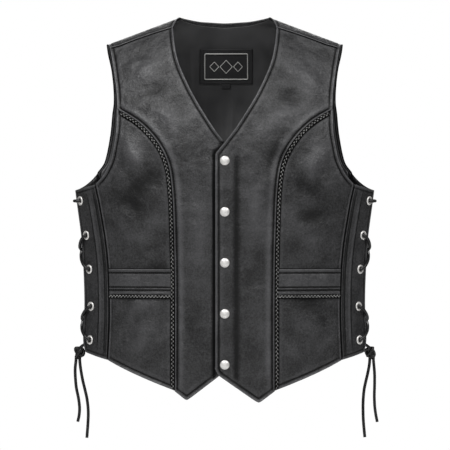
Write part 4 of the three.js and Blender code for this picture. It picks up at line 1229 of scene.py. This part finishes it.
def lace_route(side):
    stops = []
    for face, number in STOPS:
        bearing = bearing_at(abs(eyelet_place(face, 1, number)[0].x), EYELETS[number][0])
        stops.append((bearing if face < 0 else math.pi - bearing, EYELETS[number][0]))

    def off(a, b, share, height):
        to_middle = abs(1 - 2 * share)
        down = 0.5 + math.copysign(to_middle ** STEEPNESS, 2 * share - 1) / 2
        return around_point(side, lerp(a[0], b[0], share), lerp(a[1], b[1], down), height)

    def to_knot(stop, sign):
        beam = (math.pi / 2, KNOT_Z + KNOT_HALF + 9)
        return [
            Vector((side * KNOT_X, sign * 2.6, KNOT_Z + KNOT_HALF - 5)),
            Vector((side * (KNOT_X - 5), sign * 3.8, KNOT_Z + KNOT_HALF - 0.5)),
            Vector((side * (KNOT_X - 13), sign * 8, KNOT_Z + KNOT_HALF + 4.5)),
            off(stop, beam, 0.55, -8), off(stop, beam, 0.13, -6.3),
        ]

    route = to_knot(stops[0], -1)
    half = len(STOPS) // 2 - 1
    for i, stop in enumerate(stops):
        outwards = i % 2 == 0
        place = eyelet_place(STOPS[i][0], side, STOPS[i][1])
        route += [lifted(place, height) for height in ((-3.7, 1.2) if outwards else (1.2, -3.7))]
        if i == len(stops) - 1:
            break
        profile, level = (OUTSIDE, OUTSIDE_MIDDLE) if outwards else (INSIDE, INSIDE_MIDDLE)
        level = BAR_HEIGHT if i == half else level + (CROSS if i < half else -CROSS)
        following = stops[i + 1]
        route += [off(stop, following, share, height) for share, height in profile]
        route.append(off(stop, following, 0.5, level))
        route += [off(stop, following, 1 - share, height) for share, height in reversed(profile)]
    return route + to_knot(stops[-1], 1)[::-1]


for name, side in SIDES.items():
    laced = smooth_line(lace_route(side), 7)
    lace = cord_curve(f"leather_lace_{name}", [laced], LACE_WIDTH)
    print("lace", name, "from knot to knot in mm:", round(line_length(laced)))
    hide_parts(f"lace_{name}")
    wraps = []
    for k in range(121):
        angle = 2 * math.pi * k / 120
        ring = 5.3 + 2.3 * math.cos(3 * angle)
        turn = 2 * angle + (0.5 if side > 0 else 2.4)
        height = 6.9 * math.sin(3 * angle) - 0.5 + 1.2 * math.sin(angle)
        across, forward = ring * math.cos(turn), 0.85 * ring * math.sin(turn)
        wraps.append(Vector((side * KNOT_X + across, forward, KNOT_Z + height)))
    core = [
        [Vector((side * (KNOT_X + x * spread), y, KNOT_Z + z)) for z, spread in CORE_LEVELS]
        for x, y in CORE_STRANDS
    ]
    knot = cord_curve(f"leather_knot_{name}", [wraps, *core], LACE_WIDTH)
    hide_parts(f"lace_knot_{name}")
print("laces and knots made")

# %% [markdown]
# ## Stitches
# A row of stitches is a line of small rounded beads of thread that lie end to end in their groove. Each
# is a sphere that a matrix stretches along the row and sets at its depth.

# %% Stitches
PITCH = 3.4
EDGE_ROW, SEAM_ROW = 5.9, 3.9  # distance of a row from a rolled edge and from the curved seam
STRIP_ROWS, STRIP_WIDTH = (8, 11, 24.6), 38
DEEP, SHALLOW = -0.55, -0.35  # height of the thread over its line
OVERLAP_ROWS = 0.05, 0.952  # shares of the shoulder's width


def stitches(name, rows, panel_piece, length=2.5, width=0.75, turn=0.0):
    """Rows of thread beads; each row is a line of places and the height of its thread over them."""
    bead = Matrix.Diagonal((length / 2, width / 2, width / 2, 1))
    places = []
    for line, height in rows:
        travelled, due = 0, PITCH / 2
        for (a, out), (b, _) in zip(line, line[1:]):
            span = (b - a).length
            while due <= travelled + span and span > 0:
                at = a.lerp(b, (due - travelled) / span) + out * height
                along = Matrix.Rotation(turn, 3, out) @ (b - a).normalized()
                axes = Matrix((along, out.cross(along).normalized(), out)).transposed().to_4x4()
                places.append(Matrix.Translation(at) @ axes @ bead)
                due += PITCH
            travelled += span
    bm = bmesh.new()
    for first in range(0, len(places), 30):
        few = bmesh.new()
        for matrix in places[first:first + 30]:
            bmesh.ops.create_uvsphere(few, u_segments=6, v_segments=4, radius=1, matrix=matrix)
        join(bm, few)
    thread = finish_piece(name, bm)
    thread.parent = panel_piece
    return thread


threads = {}
for name in SIDES:
    centre, beside, band = (panels[kind, name] for kind in ("centre", "side", "band"))
    threads[f"leather_front_{name}"] = [
        (centre.side_line(0, 0, -553, EDGE_ROW), DEEP),
        (centre.side_line(1, -34, SEAM_TOP + 8, EDGE_ROW), DEEP),
        (centre.cross_line("bottom", EDGE_ROW, 0.07, 0.96), DEEP),
        (centre.side_line(1, SEAM_TOP - 8, -586, SEAM_ROW), DEEP),
    ]
    threads[f"leather_side_{name}"] = [
        (beside.side_line(1, -150, SIDE_TOP, EDGE_ROW), DEEP),
        (beside.cross_line("bottom", EDGE_ROW, 0.1, 0.99), DEEP),
    ]
    threads[f"leather_pocket_band_{name}"] = [
        (band.cross_line("top", UPPER_ROW, 0.02, 0.98), -0.45),
        *((band.cross_line("bottom", row, 0.02, 0.98), -0.4) for row in LOWER_ROWS),
    ]
    for where in ("front", "back"):
        strip = panels["strip", where, name]
        lines = []
        for inset in STRIP_ROWS:
            u = inset / STRIP_WIDTH
            lines.append(strip.side_line(0, strip.top(u) - 4, strip.bottom(u) + 4, inset))
        lines.append(strip.side_line(1, -274, -532, 5.4))
        threads[f"leather_strip_{where}_{name}"] = [(line, SHALLOW) for line in lines]


def back_inset_row(share, inset, limit):
    """Places across the back, a distance inside the hem or the neck edge."""
    shift = inset / (BLADE_LINE - BACK_HEM if share < 0 else CLIMB)
    return back_row(share + shift if share < 0 else share - shift, [u for u in columns if abs(u) <= limit])


back_threads = [
    (back_inset_row(-1, EDGE_ROW, 0.97), SHALLOW), (back_inset_row(1, 6.2, NECK_SHARE), SHALLOW),
]
for name, side in SIDES.items():
    upper = [share for share in upper_shares if share < 0.985]
    armhole = [back_row(share, [side * (1 - EDGE_ROW / back_edge(share * CLIMB))])[0] for share in upper]
    back_threads.append((armhole, SHALLOW))
    for q in OVERLAP_ROWS:
        back_threads.append(([yoke_place(name, q, share) for share in YOKE_SHARES], SHALLOW))
threads["leather_back"] = back_threads
for name, rows in threads.items():
    stitches(name.replace("leather", "stitches"), rows, pieces[name])
for name, side in SIDES.items():
    ticks = [([yoke_place(name, 0.05 + 0.9 * k / 40, 0.86) for k in range(41)], -0.1)]
    stitches(f"stitches_shoulder_{name}", ticks, pieces["leather_back"], 3.2, 0.8, math.radians(58 * side))
print("stitch rows:", sum(len(rows) for rows in threads.values()) + len(SIDES))

# %% [markdown]
# ## The flat cuts
# Each sheet was cut flat before it was sewn. Its longest row and longest column give the width and
# the length of the rectangle it is cut from, which are kept for each cut. The neck facing and the size
# tab are narrower than a centimetre, and no size is kept for them. The loop below only looks up each cut's
# piece.

# %% Sheets
for name, (width, length) in cuts.items():
    piece = pieces[name]

# %% [markdown]
# ## Materials
# Black leather is nearly black in itself; what shows is the sheen of its surface. The hide gets four
# sizes of relief: waves of four or five centimetres, ones as wide as a thumb, wrinkles of some
# millimetres and the pebble grain. A cloudy pattern makes the colour and the gloss uneven. The height
# kept as "raised" paints raised edges and crease ridges paler, as wear and painted highlight, while
# grooves, gaps and troughs are painted black and dull as painted shade. Patterns are laid in the
# object's own space, in metres, so a scale of 300 repeats about every 3 millimetres.


# %% Material tools
def linear(code):
    """A colour code such as "2a2a2b" as linear red, green, blue and alpha."""
    channels = [int(code[i:i + 2], 16) / 255 for i in (0, 2, 4)]
    return (*[c / 12.92 if c <= 0.04045 else ((c + 0.055) / 1.055) ** 2.4 for c in channels], 1)


def add_node(tree, kind, links=None, **settings):
    """Adds a node; settings are its properties or, by name, its inputs, and links feed inputs."""
    node = tree.nodes.new(kind)
    for key, value in settings.items():
        if key in node.bl_rna.properties:
            setattr(node, key, value)
        else:
            node.inputs[key.replace("_", " ")].default_value = value
    for key, socket in (links or {}).items():
        tree.links.new(socket, node.inputs[key])
    return node


def surface(name, **values):
    """A new material, its tree and its principled shader; values are the shader's inputs."""
    material = bpy.data.materials.new(name)
    material.use_nodes = True
    tree = material.node_tree
    shader = tree.nodes["Principled BSDF"]
    for key, value in values.items():
        shader.inputs[key.replace("_", " ")].default_value = value
    return material, tree, shader


def relief(tree, shader, layers):
    """Chains bumps into a shader; each layer is a height socket and its depth in millimetres."""
    normal = None
    for height, depth in layers:
        bump = add_node(tree, "ShaderNodeBump", {"Height": height}, Distance=depth * MM)
        if normal:
            tree.links.new(normal, bump.inputs["Normal"])
        normal = bump.outputs["Normal"]
    tree.links.new(normal, shader.inputs["Normal"])


def mottled(tree, factor, dark, pale, low=0.3, high=0.7):
    """A colour that runs from dark to pale with a pattern."""
    ramp = add_node(tree, "ShaderNodeValToRGB", {"Fac": factor})
    ramp.color_ramp.elements[0].position, ramp.color_ramp.elements[1].position = low, high
    ramp.color_ramp.elements[0].color, ramp.color_ramp.elements[1].color = linear(dark), linear(pale)
    return ramp.outputs["Color"]


def noise(tree, place, scale, detail, roughness=0.5, distortion=0.0):
    """A cloudy pattern from 0 to 1."""
    node = add_node(tree, "ShaderNodeTexNoise", {"Vector": place}, Scale=scale, Detail=detail,
                    Roughness=roughness, Distortion=distortion)
    return node.outputs["Fac"]


def ranged(tree, value, start, end, low, high):
    """A value brought from the range start to end into the range low to high."""
    node = add_node(tree, "ShaderNodeMapRange", {"Value": value}, From_Min=start, From_Max=end,
                    To_Min=low, To_Max=high)
    return node.outputs["Result"]


def hide(name, dark, pale, roughness, grain, waves):
    """Leather: uneven colour and gloss over waves, wrinkles and pebble grain, made paler on raised places and
    darker in low ones by its "raised" height, as wear and as painted highlight and shade.
    """
    material, tree, shader = surface(name, Specular_IOR_Level=0.5, IOR=1.5)
    place = add_node(tree, "ShaderNodeTexCoord").outputs["Object"]
    cloud = noise(tree, place, 32.0, 5.0, 0.62)
    slow = noise(tree, place, 22.0, 2.0)
    middling = noise(tree, place, 60.0, 2.0, 0.5, 0.8)
    wrinkle = noise(tree, place, 240.0, 4.0, 0.65, 0.6)
    pebble = add_node(tree, "ShaderNodeTexVoronoi", {"Vector": place}, feature="SMOOTH_F1",
                      Scale=620.0, Smoothness=0.6).outputs["Distance"]
    crisp = ranged(tree, noise(tree, place, 330.0, 4.0, 0.8), 0.3, 0.7, 0.2, 0.8)
    speck = add_node(tree, "ShaderNodeMix", {"A": cloud, "B": crisp}, Factor=0.5).outputs["Result"]
    raised = add_node(tree, "ShaderNodeAttribute", attribute_name="raised").outputs["Fac"]
    # wear and painted light: raised beads and crease ridges are painted paler, grooves, gaps and troughs
    # darker as painted shade
    wear_and_painted_light = ranged(tree, raised, -0.7, 1.0, -0.36, 0.52)
    tone = add_node(tree, "ShaderNodeMath", {0: speck, 1: wear_and_painted_light}, operation="ADD").outputs["Value"]
    colour = mottled(tree, tone, dark, pale, 0.38, 1.0)
    gloss = ranged(tree, tone, 0.2, 1.0, roughness + 0.1, roughness - 0.14)
    # painted shade: low places also lose their specular sheen
    shine = ranged(tree, raised, -0.75, 0.0, 0.08, 0.5)
    for key, value in (("Base Color", colour), ("Roughness", gloss), ("Specular IOR Level", shine)):
        tree.links.new(value, shader.inputs[key])
    relief(tree, shader, [
        (slow, 7 * waves), (middling, 1.1 * waves), (wrinkle, 0.9 * waves), (pebble, grain),
    ])
    return material


# %% Materials
cowhide = hide("black_cowhide", "0a0a0b", "565658", 0.47, 0.28, 1.0)
# the plait's strands are painted pale on top as a highlight and black between them as shade
cord_leather = hide("plaited_leather_cord", "020202", "a0a09e", 0.36, 0.04, 0.0)
lace_leather = hide("black_leather_lace", "080808", "202021", 0.42, 0.05, 0.03)

satin, tree, shader = surface(
    "black_satin", Roughness=0.4, Specular_IOR_Level=0.4, Anisotropic=0.5, Sheen_Weight=0.15,
)
place = add_node(tree, "ShaderNodeTexCoord").outputs["Object"]
cloud = noise(tree, place, 14.0, 2.0)
tree.links.new(mottled(tree, cloud, "303031", "484849"), shader.inputs["Base Color"])
relief(tree, shader, [(noise(tree, place, 900.0, 2.0), 0.04)])


def woven(name, dark, pale, roughness):
    """Woven thread: a fine weave raised along both ways of the cloth."""
    material, tree, shader = surface(name, Roughness=roughness, Specular_IOR_Level=0.35, Sheen_Weight=0.1)
    place = add_node(tree, "ShaderNodeTexCoord").outputs["Object"]
    warp, weft = (
        add_node(tree, "ShaderNodeTexWave", {"Vector": place}, bands_direction=way,
                 Scale=480.0, Distortion=0.3)
        for way in ("X", "Z")
    )
    weave = add_node(tree, "ShaderNodeMath", {0: warp.outputs["Fac"], 1: weft.outputs["Fac"]},
                     operation="MULTIPLY").outputs["Value"]
    tree.links.new(mottled(tree, weave, dark, pale, 0.0, 1.0), shader.inputs["Base Color"])
    relief(tree, shader, [(weave, 0.12)])
    return material


label_weave = woven("black_label_weave", "18181a", "2e2e2f", 0.7)
pale_thread = woven("pale_woven_thread", "a9a9a6", "e0e0dd", 0.6)
dark_thread = woven("black_polyester_thread", "0a0a0a", "1a1a1a", 0.55)
piping_cloth = woven("grey_piping_cloth", "5a5a5a", "747474", 0.6)

nickel, tree, shader = surface("nickel_plate", Base_Color=linear("efedea"), Metallic=0.5, Roughness=0.4)
place = add_node(tree, "ShaderNodeTexCoord").outputs["Object"]
gloss = ranged(tree, noise(tree, place, 90.0, 2.0), 0.0, 1.0, 0.38, 0.44)
tree.links.new(gloss, shader.inputs["Roughness"])

ground, tree, shader = surface("pale_floor", Base_Color=linear("f2f2f2"), Roughness=0.9)
place = add_node(tree, "ShaderNodeTexCoord").outputs["Object"]
speckle = noise(tree, place, 3.0, 2.0)
tree.links.new(mottled(tree, speckle, "efefef", "f5f5f5"), shader.inputs["Base Color"])

# how a name begins, and the material it gets; the first that fits counts
FINISHES = [
    ("leather_lace", lace_leather), ("leather_knot", lace_leather), ("lace_tail", lace_leather),
    ("plait", cord_leather), ("leather", cowhide), ("neck_facing", cowhide), ("stitches", dark_thread),
    ("satin", satin), ("woven", label_weave), ("label", pale_thread), ("neck_piping", piping_cloth),
    ("nickel", nickel), ("floor", ground),
]
for piece in bpy.context.scene.objects:
    if piece.type not in ("MESH", "CURVE") or piece.name.startswith("label_patch"):
        continue
    for start, material in FINISHES:
        if piece.name.startswith(start):
            piece.data.materials.clear()
            piece.data.materials.append(material)
            break
print("materials:", len(bpy.data.materials))
